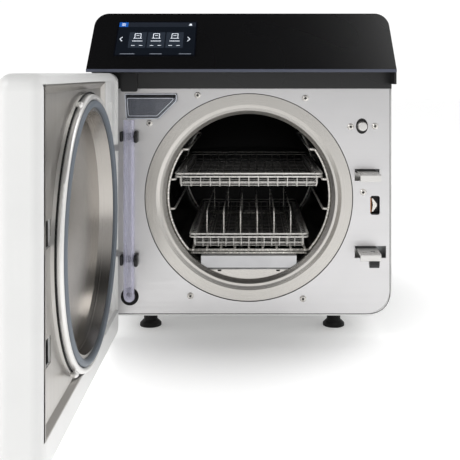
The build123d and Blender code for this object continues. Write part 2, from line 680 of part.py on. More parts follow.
# Drain tube: down the panel in two clips and into its grommet
tube_radius = TUBE_DIAMETER / 2
tube_y = PANEL_FRONT - tube_radius - RUN_GAP
with BuildPart() as drain_tube:
    with BuildLine(side_at(TUBE_X)) as tube_path:
        FilletPolyline((tube_y, TUBE_TOP), (tube_y, GROMMET_Z), (PANEL_FRONT + 20, GROMMET_Z), radius=9.5)
    with BuildSketch(level_at(TUBE_TOP)):
        with Locations((TUBE_X, tube_y)):
            Circle(tube_radius * 0.9)
            Circle(tube_radius * 0.9 - TUBE_WALL, mode=Mode.SUBTRACT)
    sweep()
drain_tube.part.label = "drain_tube"
export_step(drain_tube.part, "parts/drain_tube.step")

CLIP_LEVELS = (341, 135)
CLIP_HEIGHT = 22
CLIP_WALL = 2
CLIP_WIDTH = 29
clip_radius = tube_radius * 0.9
with BuildPart() as tube_clips:
    for clip_z in CLIP_LEVELS:
        with BuildSketch(level_at(clip_z - CLIP_HEIGHT / 2)):
            with Locations((TUBE_X, tube_y)):
                Circle(clip_radius + CLIP_WALL)
            with Locations((TUBE_X, PANEL_FRONT - CLIP_WALL / 2)):
                Rectangle(CLIP_WIDTH, CLIP_WALL)
            with Locations((TUBE_X, PANEL_FRONT - clip_radius / 2)):
                Rectangle(clip_radius, clip_radius)
            with Locations((TUBE_X, tube_y)):
                Circle(clip_radius, mode=Mode.SUBTRACT)
            with Locations((TUBE_X, PANEL_FRONT + clip_radius)):
                Rectangle(2 * CLIP_WIDTH, 2 * clip_radius, mode=Mode.SUBTRACT)
        extrude(amount=CLIP_HEIGHT)
tube_clips.part.label = "tube_clips"
export_step(tube_clips.part, "parts/tube_clips.step")

GROMMET_LIP = 1
with BuildPart() as tube_grommet:
    with BuildSketch(front_at(PANEL_FRONT)):
        with Locations((TUBE_X, GROMMET_Z)):
            Circle(GROMMET_RADIUS)
            Circle(tube_radius * 0.9, mode=Mode.SUBTRACT)
    extrude(amount=GROMMET_LIP)
    with BuildSketch(front_at(PANEL_BACK + GROMMET_LIP)):
        with Locations((TUBE_X, GROMMET_Z)):
            Circle(GROMMET_RADIUS - RUN_GAP * 4)
            Circle(tube_radius * 0.9, mode=Mode.SUBTRACT)
    extrude(amount=GROMMET_LIP + PANEL_SHEET)
tube_grommet.part.label = "tube_grommet"
export_step(tube_grommet.part, "parts/tube_grommet.step")

SCREW_PLACES = (
    (-155, 363),
    (-74, 410),
    (107, 405),
    (183, 357),
    (224, 358),
    (204, 247),
    (-86, 73),
    (103, 68),
)
SCREW_HEAD = 5.5
SCREW_HEIGHT = 3
with BuildPart() as panel_screws:
    with BuildSketch(front_at(PANEL_FRONT)):
        with Locations(*SCREW_PLACES):
            Circle(SCREW_HEAD)
    extrude(amount=SCREW_HEIGHT)
    chamfer(panel_screws.edges().group_by(Axis.Y)[0], SCREW_HEIGHT / 3)
panel_screws.part.label = "panel_screws"
export_step(panel_screws.part, "parts/panel_screws.step")

# Door switch: a body behind the panel and the plunger that the door pushes
PLUNGER_RADIUS = 7.5
PLUNGER_PROUD = 12
PLUNGER_FLANGE = 3
PLUNGER_TRAVEL = 6
PLUNGER_STEM = 4
SWITCH_BODY = 36
SWITCH_FRONT = PANEL_BACK + 2
PLUNGER_BACK = 16
with BuildPart() as door_switch:
    with BuildSketch(front_at(SWITCH_FRONT + SWITCH_BODY)):
        with Locations((PLUNGER_X, PLUNGER_Z)):
            RectangleRounded(SWITCH_BODY, SWITCH_BODY, PLUNGER_FLANGE)
    extrude(amount=SWITCH_BODY)
    with BuildSketch(front_at(SWITCH_FRONT + PLUNGER_BACK + PLUNGER_TRAVEL + 1)):
        with Locations((PLUNGER_X, PLUNGER_Z)):
            Circle(PLUNGER_RADIUS + SPINDLE_FIT)
    extrude(amount=PLUNGER_BACK + PLUNGER_TRAVEL + 1, mode=Mode.SUBTRACT)
door_switch.part.label = "door_switch"
export_step(door_switch.part, "parts/door_switch.step")

with BuildPart() as switch_plunger:
    with BuildSketch(front_at(SWITCH_FRONT + PLUNGER_BACK)):
        with Locations((PLUNGER_X, PLUNGER_Z)):
            Circle(PLUNGER_RADIUS)
    extrude(amount=PLUNGER_BACK + SWITCH_FRONT - PANEL_FRONT + PLUNGER_PROUD)
    fillet(switch_plunger.edges().group_by(Axis.Y)[0], 2)
switch_plunger.part.label = "switch_plunger"
export_step(switch_plunger.part, "parts/switch_plunger.step")

# Latch brackets: hooked straps that run out through the panel slots
BRACKET_ROOT = 30
bracket_front = PANEL_FRONT - BRACKET_REACH
latch_hole_y = PIVOT_Y + LATCH_HOLE_IN
LATCH_HOLE_PITCH = 18
for bracket_name, bracket_top in zip(("upper_latch_bracket", "lower_latch_bracket"), BRACKET_TOPS):
    with BuildPart() as bracket:
        with BuildSketch(side_at(BRACKET_LEFT)):
            with BuildLine():
                Polyline(
                    (PANEL_BACK + BRACKET_ROOT, bracket_top),
                    (bracket_front, bracket_top),
                    (bracket_front, bracket_top - BRACKET_DROP),
                    (bracket_front + BRACKET_SHEET, bracket_top - BRACKET_DROP),
                    (bracket_front + BRACKET_SHEET, bracket_top - BRACKET_SHEET),
                    (PANEL_BACK + BRACKET_ROOT - BRACKET_SHEET, bracket_top - BRACKET_SHEET),
                    (PANEL_BACK + BRACKET_ROOT - BRACKET_SHEET, bracket_top - 2 * BRACKET_DROP),
                    (PANEL_BACK + BRACKET_ROOT, bracket_top - 2 * BRACKET_DROP),
                    close=True,
                )
            make_face()
        extrude(amount=bracket_width)
        fillet(bracket.edges().filter_by(Axis.X).group_by(Axis.Y)[0], BRACKET_SHEET / 2)
        with BuildSketch(level_at(bracket_top - BRACKET_SHEET)):
            with Locations((bracket_mid_x, latch_hole_y)):
                with GridLocations(LATCH_HOLE_PITCH, 1, 2, 1):
                    Circle(LATCH_HOLE / 2)
        extrude(amount=BRACKET_SHEET, mode=Mode.SUBTRACT)
    bracket.part.label = bracket_name
    export_step(bracket.part, f"parts/{bracket_name}.step")

# Steel frame posts behind the panel, seated on the sides of the shell: the right one
# carries the brackets, the lock and the door switch, and the left one the hinge arms
POST_SHEET = 3
POST_FLANGE = 30
POST_EDGE = 6
post_y = PANEL_BACK + BRACKET_ROOT
right_post = BRACKET_LEFT - POST_EDGE
left_post = PIVOT_X + ARM_WIDTH
arm_back = PANEL_BACK + ARM_ROOT
POST_SPANS = (
    (right_post, SHELL_INNER, post_y, PLUNGER_Z - SWITCH_BODY / 2),
    (-SHELL_INNER, left_post, arm_back, PANEL_TOP),
)
with BuildPart() as frame_posts:
    for post_left, post_right, post_front, post_top in POST_SPANS:
        flange_x = SHELL_INNER - POST_SHEET / 2 if post_left > 0 else POST_SHEET / 2 - SHELL_INNER
        with BuildSketch(level_at(SHELL_BOTTOM + SHELL_CORNER)):
            with Locations(((post_left + post_right) / 2, post_front + POST_SHEET / 2)):
                Rectangle(post_right - post_left, POST_SHEET)
            with Locations((flange_x, post_front + POST_FLANGE / 2)):
                Rectangle(POST_SHEET, POST_FLANGE)
        extrude(amount=post_top - SHELL_BOTTOM - SHELL_CORNER)
frame_posts.part.label = "frame_posts"
export_step(frame_posts.part, "parts/frame_posts.step")

CATCH_WIDTH = 16
CATCH_SHIFT = 6
CATCH_HEIGHT = 11
catch_top = BRACKET_TOPS[1] - BRACKET_DROP
with BuildPart() as lower_catch:
    with BuildSketch(side_at(bracket_mid_x + CATCH_SHIFT - CATCH_WIDTH / 2)):
        with BuildLine():
            Polyline(
                (bracket_front, catch_top),
                (bracket_front, catch_top - CATCH_HEIGHT / 2),
                (bracket_front + BRACKET_SHEET, catch_top - CATCH_HEIGHT),
                (bracket_front + 3 * BRACKET_SHEET, catch_top - CATCH_HEIGHT / 2),
                (bracket_front + 2 * BRACKET_SHEET, catch_top),
                close=True,
            )
        make_face()
    extrude(amount=CATCH_WIDTH)
lower_catch.part.label = "lower_catch"
export_step(lower_catch.part, "parts/lower_catch.step")

# Door lock: a body behind the panel slot, its seal strip and the hook that slides in it
LOCK_BODY_WIDTH = 30
LOCK_BODY_HEIGHT = 60
LOCK_FRONT = PANEL_BACK + SEAM
LOCK_BODY_DEPTH = BRACKET_ROOT - SEAM
LOCK_TRAVEL = 4
HOOK_SHEET = 4
HOOK_HALF = 11
HOOK_REACH = 8.5
HOOK_SETBACK = 3
HOOK_Y = PANEL_FRONT + HOOK_SETBACK
hook_left = LOCK_X - LOCK_SLOT_WIDTH / 2 + 3
pocket_floor = LOCK_FRONT + 3 * HOOK_SHEET
hook_back = pocket_floor - FLANGE_SEAT
with BuildPart() as lock_body:
    with BuildSketch(front_at(LOCK_FRONT + LOCK_BODY_DEPTH)):
        with Locations((LOCK_X - SKIRT_WALL, LOCK_Z)):
            Rectangle(LOCK_BODY_WIDTH, LOCK_BODY_HEIGHT)
    extrude(amount=LOCK_BODY_DEPTH)
    with BuildSketch(front_at(LOCK_FRONT + 3 * HOOK_SHEET)):
        with Locations((LOCK_X, LOCK_Z)):
            Rectangle(LOCK_SLOT_WIDTH, LOCK_SLOT_HEIGHT - HOOK_SHEET)
    extrude(amount=3 * HOOK_SHEET, mode=Mode.SUBTRACT)
lock_body.part.label = "lock_body"
export_step(lock_body.part, "parts/lock_body.step")

with BuildPart() as lock_hook:
    with BuildSketch(front_at(hook_back)):
        with BuildLine():
            Polyline(
                (hook_left, LOCK_Z - HOOK_HALF),
                (hook_left + HOOK_SHEET / 2, LOCK_Z - HOOK_HALF),
                (hook_left + HOOK_REACH, LOCK_Z - HOOK_SHEET / 2),
                (hook_left + HOOK_REACH, LOCK_Z + HOOK_SHEET / 2),
                (hook_left + HOOK_SHEET / 2, LOCK_Z + HOOK_HALF),
                (hook_left, LOCK_Z + HOOK_HALF),
                (hook_left + HOOK_SHEET / 2, LOCK_Z),
                close=True,
            )
        make_face()
    extrude(amount=hook_back - HOOK_Y)
    fillet(lock_hook.edges().filter_by(Axis.Y).group_by(Axis.X)[-1], HOOK_SHEET / 4)
lock_hook.part.label = "lock_hook"
export_step(lock_hook.part, "parts/lock_hook.step")

STRIP_WIDTH = 2
with BuildPart() as lock_strip:
    with BuildSketch(front_at(LOCK_FRONT + HOOK_SHEET)):
        with Locations((LOCK_X - LOCK_SLOT_WIDTH / 2 + STRIP_WIDTH / 2, LOCK_Z)):
            Rectangle(STRIP_WIDTH, LOCK_SLOT_HEIGHT - 2 * HOOK_SHEET)
    extrude(amount=HOOK_SHEET)
lock_strip.part.label = "lock_strip"
export_step(lock_strip.part, "parts/lock_strip.step")

# Console: a black wedge with a slanted face, its lip trim, the display and the top cover
wall_y = PANEL_FRONT - RECESS_WALL_STEP
face_rise = CONSOLE_TOP - FACE_BOTTOM_Z
face_length = sqrt(CONSOLE_RUN**2 + face_rise**2)
slant_wall = CONSOLE_WALL * face_length / face_rise
TRIM_SHEET = 1.5
console_front = LIP_FRONT + TRIM_SHEET
with BuildPart() as console_housing:
    with BuildSketch(side_at(-CONSOLE_HALF)):
        with BuildLine():
            Polyline(
                (wall_y, PANEL_TOP),
                (wall_y, LIP_BOTTOM),
                (console_front, LIP_BOTTOM),
                (console_front, FACE_BOTTOM_Z),
                (FACE_TOP_Y, CONSOLE_TOP),
                (CONSOLE_BACK, CONSOLE_TOP),
                (CONSOLE_BACK, SHELL_TOP),
                (wall_y + CONSOLE_WALL, SHELL_TOP),
                (wall_y + CONSOLE_WALL, PANEL_TOP),
                close=True,
            )
        make_face()
    extrude(amount=2 * CONSOLE_HALF)
    top_edges = console_housing.edges().filter_by(Axis.Y).group_by(Axis.Z)[-1]
    fillet(top_edges, CONSOLE_CORNER)
    with BuildSketch(side_at(-CONSOLE_HALF + CONSOLE_WALL)):
        with BuildLine():
            Polyline(
                (wall_y + CONSOLE_WALL, SHELL_TOP),
                (wall_y + CONSOLE_WALL, LIP_BOTTOM + CONSOLE_WALL),
                (LIP_FRONT + 2 * slant_wall, LIP_BOTTOM + CONSOLE_WALL),
                (FACE_TOP_Y + slant_wall, CONSOLE_TOP - CONSOLE_WALL),
                (CONSOLE_BACK, CONSOLE_TOP - CONSOLE_WALL),
                (CONSOLE_BACK, SHELL_TOP),
                close=True,
            )
        make_face()
    inner_console = extrude(amount=2 * (CONSOLE_HALF - CONSOLE_WALL), mode=Mode.PRIVATE)
    inner_edges = inner_console.edges().filter_by(Axis.Y).group_by(Axis.Z)[-1]
    add(inner_console.fillet(CONSOLE_CORNER - CONSOLE_WALL, inner_edges), mode=Mode.SUBTRACT)
    with BuildSketch(side_at(CONSOLE_HALF - SKIRT_WALL)):
        with Locations(((LIP_FRONT + wall_y) / 2 + TRIM_SHEET, (SKIRT_BOTTOM + LIP_BOTTOM) / 2)):
            Rectangle(LIP_REACH - RECESS_WALL_STEP - TRIM_SHEET, LIP_BOTTOM - SKIRT_BOTTOM)
    extrude(amount=SKIRT_WALL)
    face_up = Vector(0, CONSOLE_RUN / face_length, face_rise / face_length)
    face_out = Vector(0, -face_rise / face_length, CONSOLE_RUN / face_length)
    screen_centre = CENTRE + Vector(SCREEN_X, LIP_FRONT, FACE_BOTTOM_Z) + face_up * SCREEN_UP
    screen_seat = Plane(
        origin=screen_centre - face_out * (SCREEN_THICKNESS - SCREEN_PROUD),
        x_dir=ALONG,
        z_dir=face_out,
    )
    with BuildSketch(screen_seat):
        Rectangle(SCREEN_WIDTH, SCREEN_HEIGHT)
    extrude(amount=2 * SCREEN_THICKNESS, mode=Mode.SUBTRACT)
console_housing.part.label = "console_housing"
export_step(console_housing.part, "parts/console_housing.step")

with BuildPart() as console_trim:
    with BuildSketch(side_at(-CONSOLE_HALF)):
        with Locations((LIP_FRONT + TRIM_SHEET / 2, LIP_BOTTOM + LIP_HEIGHT / 2)):
            Rectangle(TRIM_SHEET, LIP_HEIGHT)
    extrude(amount=2 * CONSOLE_HALF)
    fillet(console_trim.edges().filter_by(Axis.X).group_by(Axis.Y)[0], TRIM_SHEET / 2)
console_trim.part.label = "console_trim"
export_step(console_trim.part, "parts/console_trim.step")

with BuildPart() as touch_display:
    with BuildSketch(screen_seat):
        RectangleRounded(SCREEN_WIDTH - SEAM, SCREEN_HEIGHT - SEAM, 2)
    extrude(amount=SCREEN_THICKNESS)
touch_display.part.label = "touch_display"
export_step(touch_display.part, "parts/touch_display.step")

with BuildPart() as top_cover:
    with BuildSketch(side_at(-CONSOLE_HALF)):
        with Locations(((CONSOLE_BACK + CABINET_BACK) / 2, (SHELL_TOP + CONSOLE_TOP) / 2)):
            Rectangle(CABINET_BACK - CONSOLE_BACK, CONSOLE_TOP - SHELL_TOP)
    extrude(amount=2 * CONSOLE_HALF)
    fillet(top_cover.edges().filter_by(Axis.Y).group_by(Axis.Z)[-1], CONSOLE_CORNER)
    offset(
        amount=-CONSOLE_WALL,
        openings=[top_cover.faces().sort_by(Axis.Y)[0], top_cover.faces().sort_by(Axis.Z)[0]],
    )
top_cover.part.label = "top_cover"
export_step(top_cover.part, "parts/top_cover.step")

HINGE_COVER_LEFT = -202
HINGE_COVER_WIDTH = 28
HINGE_COVER_BOTTOM = 416
HINGE_COVER_TOP = 446
HINGE_COVER_SHEET = 4
with BuildPart() as hinge_cover:
    with BuildSketch(front_at(wall_y)):
        with Locations(
            (HINGE_COVER_LEFT + HINGE_COVER_WIDTH / 2, (HINGE_COVER_BOTTOM + HINGE_COVER_TOP) / 2)
        ):
            RectangleRounded(HINGE_COVER_WIDTH, HINGE_COVER_TOP - HINGE_COVER_BOTTOM, SKIRT_WALL)
    extrude(amount=HINGE_COVER_SHEET)
hinge_cover.part.label = "hinge_cover"
export_step(hinge_cover.part, "parts/hinge_cover.step")

# Hinge arms on the cabinet, with eyes for the door's pins
with BuildPart() as hinge_arms:
    for hinge_z in HINGE_LEVELS:
        with BuildSketch(level_at(hinge_z - ARM_SHEET / 2)):
            with Locations((PIVOT_X, (PIVOT_Y + arm_back) / 2)):
                Rectangle(ARM_WIDTH, arm_back - PIVOT_Y)
            with Locations((PIVOT_X, PIVOT_Y)):
                Circle(ARM_EYE)
                Circle(HINGE_PIN + HINGE_PIN_FIT, mode=Mode.SUBTRACT)
        extrude(amount=ARM_SHEET)
hinge_arms.part.label = "hinge_arms"
export_step(hinge_arms.part, "parts/hinge_arms.step")

# Door shell: a deep white tray with rounded edges, open towards the cabinet
rim_in = PIVOT_REACH - DOOR_RIM_GAP
cover_in = rim_in - COVER_RECESS
face_in = rim_in - DOOR_THICKNESS
cavity_in = face_in + DOOR_WALL
cavity_left = -DOOR_EDGE_PAST_PIVOT + RIM_HINGE_WIDTH
cavity_right = DOOR_REACH - RIM_FREE_WIDTH
cavity_bottom = DOOR_BOTTOM + RIM_BOTTOM_WIDTH
cavity_top = DOOR_TOP - RIM_WIDTH
door_length = DOOR_REACH + DOOR_EDGE_PAST_PIVOT
door_height = DOOR_TOP - DOOR_BOTTOM
door_middle = (DOOR_REACH - DOOR_EDGE_PAST_PIVOT) / 2
cavity_length = cavity_right - cavity_left
cavity_height = cavity_top - cavity_bottom
cavity_middle = (cavity_right + cavity_left) / 2
NOTCH_GAP = 1.5
NOTCH_PAST_PIVOT = 10
NOTCH_IN = 13
notch_length = DOOR_EDGE_PAST_PIVOT + NOTCH_PAST_PIVOT
with BuildPart() as door_shell:
    with BuildSketch(door_face(rim_in)):
        with Locations((door_middle, (DOOR_BOTTOM + DOOR_TOP) / 2)):
            RectangleRounded(door_length, door_height, DOOR_FRONT_EDGE + 1)
    extrude(amount=DOOR_THICKNESS)
    fillet(door_shell.faces().sort_by(Axis(CENTRE, DOOR_IN))[-1].edges(), DOOR_BACK_EDGE)
    fillet(door_shell.faces().sort_by(Axis(CENTRE, DOOR_IN))[0].edges(), DOOR_FRONT_EDGE - 2)
    with BuildSketch(door_face(rim_in + 1)):
        with Locations((cavity_middle, (cavity_bottom + cavity_top) / 2)):
            Rectangle(cavity_length, cavity_height)
    extrude(amount=DOOR_THICKNESS - DOOR_WALL + 1, mode=Mode.SUBTRACT)
    for hinge_z in HINGE_LEVELS:
        with BuildSketch(door_face(rim_in + 1)):
            with Locations((-DOOR_EDGE_PAST_PIVOT + notch_length / 2 - 1, hinge_z)):
                Rectangle(notch_length, ARM_SHEET + 2 * NOTCH_GAP)
        extrude(amount=rim_in + NOTCH_IN + 1, mode=Mode.SUBTRACT)
    with BuildSketch(door_face(cavity_in)):
        with Locations((bracket_mid_x - PIVOT_X, HANDLE_Z)):
            Circle(SPINDLE_RADIUS + SPINDLE_FIT)
    extrude(amount=DOOR_WALL, mode=Mode.SUBTRACT)
door_shell.part.label = "door_shell"
export_step(door_shell.part, "parts/door_shell.step")

# Back cover of the door, with a relief for the drain tube beside the ring
RING_SEAT = 5
POCKET_SHIFT = 1
POCKET_LEFT = TUBE_X - PIVOT_X - POCKET_WIDTH / 2 - POCKET_SHIFT
POCKET_BOTTOM = 62
POCKET_TOP = 400
pocket_mid = POCKET_LEFT + POCKET_WIDTH / 2
pocket_in = rim_in - POCKET_RECESS
bracket_door_x = bracket_mid_x - PIVOT_X
with BuildPart() as door_cover:
    with BuildSketch(door_face(cover_in)):
        with Locations((cavity_middle, (cavity_bottom + cavity_top) / 2)):
            Rectangle(cavity_length, cavity_height)
        with Locations((RING_CENTRE, CHAMBER_Z)):
            Circle(RING_RADIUS - RING_SEAT, mode=Mode.SUBTRACT)
        for bracket_top in BRACKET_TOPS:
            with Locations((bracket_door_x, bracket_top - (BRACKET_DROP + CATCH_HEIGHT) / 2)):
                Rectangle(door_slot_width, slot_height + CATCH_HEIGHT, mode=Mode.SUBTRACT)
        for hinge_z in HINGE_LEVELS:
            with Locations((-DOOR_EDGE_PAST_PIVOT + notch_length / 2 - 1, hinge_z)):
                Rectangle(notch_length, ARM_SHEET + 2 * NOTCH_GAP, mode=Mode.SUBTRACT)
    extrude(amount=COVER_SHEET)
    with BuildSketch(door_face(cover_in)):
        with Locations((pocket_mid, (POCKET_BOTTOM + POCKET_TOP) / 2)):
            Rectangle(POCKET_WIDTH + 2 * COVER_SHEET, POCKET_TOP - POCKET_BOTTOM + 2 * COVER_SHEET)
    extrude(amount=cover_in - pocket_in + COVER_SHEET)
    with BuildSketch(door_face(cover_in)):
        with Locations((pocket_mid, (POCKET_BOTTOM + POCKET_TOP) / 2)):
            Rectangle(POCKET_WIDTH, POCKET_TOP - POCKET_BOTTOM)
    extrude(amount=cover_in - pocket_in, mode=Mode.SUBTRACT)
door_cover.part.label = "door_cover"
export_step(door_cover.part, "parts/door_cover.step")

# Stainless liner on the free side: a flat sheet with flared edges
LINER_INSET = 123
LINER_LEFT = RING_CENTRE - LINER_INSET
LINER_BEVEL = 9
liner_right = cavity_right - SEAM
liner_top = cavity_top - SEAM
liner_bottom = cavity_bottom + SEAM
liner_mid_x = (LINER_LEFT + liner_right) / 2
liner_mid_z = (liner_top + liner_bottom) / 2
liner_length = liner_right - LINER_LEFT
liner_height = liner_top - liner_bottom
with BuildPart() as door_liner:
    with BuildSketch(door_face(cover_in)):
        with Locations((liner_mid_x, liner_mid_z)):
            Rectangle(liner_length - 2 * LINER_BEVEL, liner_height - 2 * LINER_BEVEL)
    with BuildSketch(door_face(rim_in)):
        with Locations((liner_mid_x, liner_mid_z)):
            Rectangle(liner_length, liner_height)
    loft()
    offset(amount=-LINER_SHEET, openings=door_liner.faces().sort_by(Axis(CENTRE, DOOR_IN))[-1])
    with BuildSketch(door_face(rim_in)):
        with Locations((RING_CENTRE, CHAMBER_Z)):
            Circle(RING_RADIUS + SEAM)
        for bracket_top in BRACKET_TOPS:
            with Locations((bracket_door_x, bracket_top - (BRACKET_DROP + CATCH_HEIGHT) / 2)):
                Rectangle(door_slot_width, slot_height + CATCH_HEIGHT)
    extrude(amount=COVER_RECESS, mode=Mode.SUBTRACT)
door_liner.part.label = "door_liner"
export_step(door_liner.part, "parts/door_liner.step")

# Pressure ring, gasket and dish of the door
DOOR_AXIS = Axis(CENTRE + Vector(PIVOT_X, PIVOT_Y, CHAMBER_Z) + DOOR_ALONG * RING_CENTRE, DOOR_IN)
DOOR_RING_PLANE = Plane(origin=DOOR_AXIS.position, x_dir=DOOR_ALONG, z_dir=UP)
ring_front = PIVOT_REACH - RING_GAP
RING_BASE = 3
ring_inner = RING_RADIUS - RING_WIDTH
GASKET_SHOULDER = 3
ring_mid = RING_RADIUS - RING_WIDTH / 2
with BuildPart() as door_ring:
    with BuildSketch(DOOR_RING_PLANE):
        with BuildLine():
            Line((GASKET_INNER, cover_in), (RING_RADIUS, cover_in))
            Line((RING_RADIUS, cover_in), (RING_RADIUS, ring_front - RING_WIDTH / 2))
            ThreePointArc(
                (RING_RADIUS, ring_front - RING_WIDTH / 2),
                (ring_mid, ring_front),
                (ring_inner, ring_front - RING_WIDTH / 2),
            )
            Line((ring_inner, ring_front - RING_WIDTH / 2), (ring_inner, cover_in + RING_BASE))
            Line((ring_inner, cover_in + RING_BASE), (GASKET_INNER, cover_in + RING_BASE))
            Line((GASKET_INNER, cover_in + RING_BASE), (GASKET_INNER, cover_in))
        make_face()
    revolve(axis=DOOR_AXIS)
door_ring.part.label = "door_ring"
export_step(door_ring.part, "parts/door_ring.step")

gasket_front = PIVOT_REACH + FLANGE_SETBACK - GASKET_GAP
gasket_crown = (GASKET_INNER + GASKET_OUTER) / 2
with BuildPart() as door_gasket:
    with BuildSketch(DOOR_RING_PLANE):
        with BuildLine():
            Line((GASKET_INNER, cover_in + RING_BASE), (GASKET_OUTER, cover_in + RING_BASE))
            Line((GASKET_OUTER, cover_in + RING_BASE), (GASKET_OUTER, gasket_front - GASKET_SHOULDER))
            ThreePointArc(
                (GASKET_OUTER, gasket_front - GASKET_SHOULDER),
                (gasket_crown, gasket_front),
                (GASKET_INNER, gasket_front - GASKET_SHOULDER),
            )
            Line((GASKET_INNER, gasket_front - GASKET_SHOULDER), (GASKET_INNER, cover_in + RING_BASE))
        make_face()
    revolve(axis=DOOR_AXIS)
door_gasket.part.label = "door_gasket"
export_step(door_gasket.part, "parts/door_gasket.step")

DISH_RIM = 5
DISH_RIM_SETBACK = 5
DISH_RIM_FRONT = PIVOT_REACH - DISH_RIM_SETBACK
DISH_BEND = 5
dish_flat = GASKET_INNER - DISH_RIM
dish_floor = DISH_RIM_FRONT - DISH_DEPTH
dish_back = dish_floor - DISH_SHEET
with BuildPart() as door_dish:
    with BuildSketch(DOOR_RING_PLANE):
        with BuildLine():
            Polyline(
                (0, dish_back),
                (dish_flat - DISH_BEND, dish_back),
                (dish_flat, DISH_RIM_FRONT - DISH_SHEET),
                (GASKET_INNER, DISH_RIM_FRONT - DISH_SHEET),
                (GASKET_INNER, DISH_RIM_FRONT),
                (dish_flat, DISH_RIM_FRONT),
                (dish_flat - DISH_BEND, dish_floor),
                (0, dish_floor),
                close=True,
            )
        make_face()
    revolve(axis=DOOR_AXIS)
door_dish.part.label = "door_dish"
export_step(door_dish.part, "parts/door_dish.step")

# Yoke behind the dish, from the hinge lugs towards the latch
YOKE_HEIGHT = 56
YOKE_SHEET = 6
YOKE_END_GAP = 6
YOKE_LEFT = POCKET_LEFT - COVER_SHEET + YOKE_END_GAP
YOKE_RIGHT = bracket_door_x - LATCH_BAR_WIDTH / 2 - 2 * YOKE_END_GAP
YOKE_BOSS = 30
yoke_back = cavity_in + YOKE_SHEET
with BuildPart() as door_yoke:
    with BuildSketch(door_face(yoke_back)):
        with Locations(((YOKE_LEFT + YOKE_RIGHT) / 2, CHAMBER_Z)):
            Rectangle(YOKE_RIGHT - YOKE_LEFT, YOKE_HEIGHT)
    extrude(amount=YOKE_SHEET)
    with BuildSketch(door_face(dish_back)):
        with Locations((RING_CENTRE, CHAMBER_Z)):
            Circle(YOKE_BOSS)
    extrude(amount=dish_back - yoke_back)
door_yoke.part.label = "door_yoke"
export_step(door_yoke.part, "parts/door_yoke.step")

# Hinge lugs in the door and the pins through them
lug_left = cavity_left + RUN_GAP
LUG_RIGHT = POCKET_LEFT - COVER_SHEET - SEAM
LUG_WEB = 3
LUG_IN = 12
lug_slot = ARM_SHEET / 2 + FLANGE_SEAT
with BuildPart() as hinge_lugs:
    for hinge_z in HINGE_LEVELS:
        with BuildSketch(door_level(hinge_z - lug_slot - LUG_PLATE)):
            with Locations(((lug_left + LUG_RIGHT) / 2, (cavity_in + LUG_IN) / 2)):
                Rectangle(LUG_RIGHT - lug_left, LUG_IN - cavity_in)
        extrude(amount=2 * (lug_slot + LUG_PLATE))
        with BuildSketch(door_level(hinge_z - lug_slot)):
            with Locations(((lug_left + LUG_RIGHT - LUG_WEB) / 2, (cavity_in + LUG_IN) / 2)):
                Rectangle(LUG_RIGHT - LUG_WEB - lug_left, LUG_IN - cavity_in)
        extrude(amount=2 * lug_slot, mode=Mode.SUBTRACT)
        with BuildSketch(door_level(hinge_z - lug_slot - LUG_PLATE)):
            Circle(HINGE_PIN)
        extrude(amount=2 * (lug_slot + LUG_PLATE), mode=Mode.SUBTRACT)
hinge_lugs.part.label = "hinge_lugs"
export_step(hinge_lugs.part, "parts/hinge_lugs.step")

PIN_HEAD = 7
PIN_HEAD_HEIGHT = 3
with BuildPart() as hinge_pins:
    for hinge_z in HINGE_LEVELS:
        with BuildSketch(door_level(hinge_z - lug_slot - LUG_PLATE)):
            Circle(HINGE_PIN)
        extrude(amount=2 * (lug_slot + LUG_PLATE))
        with BuildSketch(door_level(hinge_z + lug_slot + LUG_PLATE)):
            Circle(PIN_HEAD)
        extrude(amount=PIN_HEAD_HEIGHT)
hinge_pins.part.label = "hinge_pins"
export_step(hinge_pins.part, "parts/hinge_pins.step")

# Latch bar with its pins, sliding up and down in the door
BAR_GAP = 3
bar_out = -cavity_in - BAR_GAP
ARM_RISE = 15
BAR_BOTTOM = 120
bar_top = BRACKET_TOPS[0] + ARM_RISE + 3 * LATCH_BAR_SHEET
ARM_SETBACK = 15
ARM_IN = rim_in - ARM_SETBACK
with BuildPart() as latch_bar:
    with BuildSketch(door_face(LATCH_BAR_SHEET - bar_out)):
        with Locations((bracket_door_x, (BAR_BOTTOM + bar_top) / 2)):
            Rectangle(LATCH_BAR_WIDTH, bar_top - BAR_BOTTOM)
    extrude(amount=LATCH_BAR_SHEET)
    for bracket_top in BRACKET_TOPS:
        with BuildSketch(door_level(bracket_top + ARM_RISE)):
            with Locations((bracket_door_x, (ARM_IN + LATCH_BAR_SHEET - bar_out) / 2)):
                Rectangle(bracket_width, ARM_IN - LATCH_BAR_SHEET + bar_out)
        extrude(amount=LATCH_BAR_SHEET)
        with BuildSketch(door_level(bracket_top + LATCH_PIN_CLEAR)):
            with Locations((bracket_door_x, LATCH_HOLE_IN)):
                with GridLocations(LATCH_HOLE_PITCH, 1, 2, 1):
                    Circle(LATCH_PIN / 2)
        extrude(amount=ARM_RISE - LATCH_PIN_CLEAR)
latch_bar.part.label = "latch_bar"
export_step(latch_bar.part, "parts/latch_bar.step")

GUIDE_SIDE = 3.5
GUIDE_HEIGHT = 14
GUIDE_LEVELS = (190, 262)
guide_reach = LATCH_BAR_WIDTH / 2 + RUN_GAP
with BuildPart() as latch_guides:
    for guide_z in GUIDE_LEVELS:
        with BuildSketch(door_level(guide_z - GUIDE_HEIGHT / 2)):
            for side in (-1, 1):
                with Locations((bracket_door_x + side * (guide_reach + GUIDE_SIDE / 2), cavity_in + 6)):
                    Rectangle(GUIDE_SIDE, 12)
            with Locations((bracket_door_x, cavity_in + 10.5)):
                Rectangle(2 * guide_reach + 2 * GUIDE_SIDE, 3)
        extrude(amount=GUIDE_HEIGHT)
latch_guides.part.label = "latch_guides"
export_step(latch_guides.part, "parts/latch_guides.step")

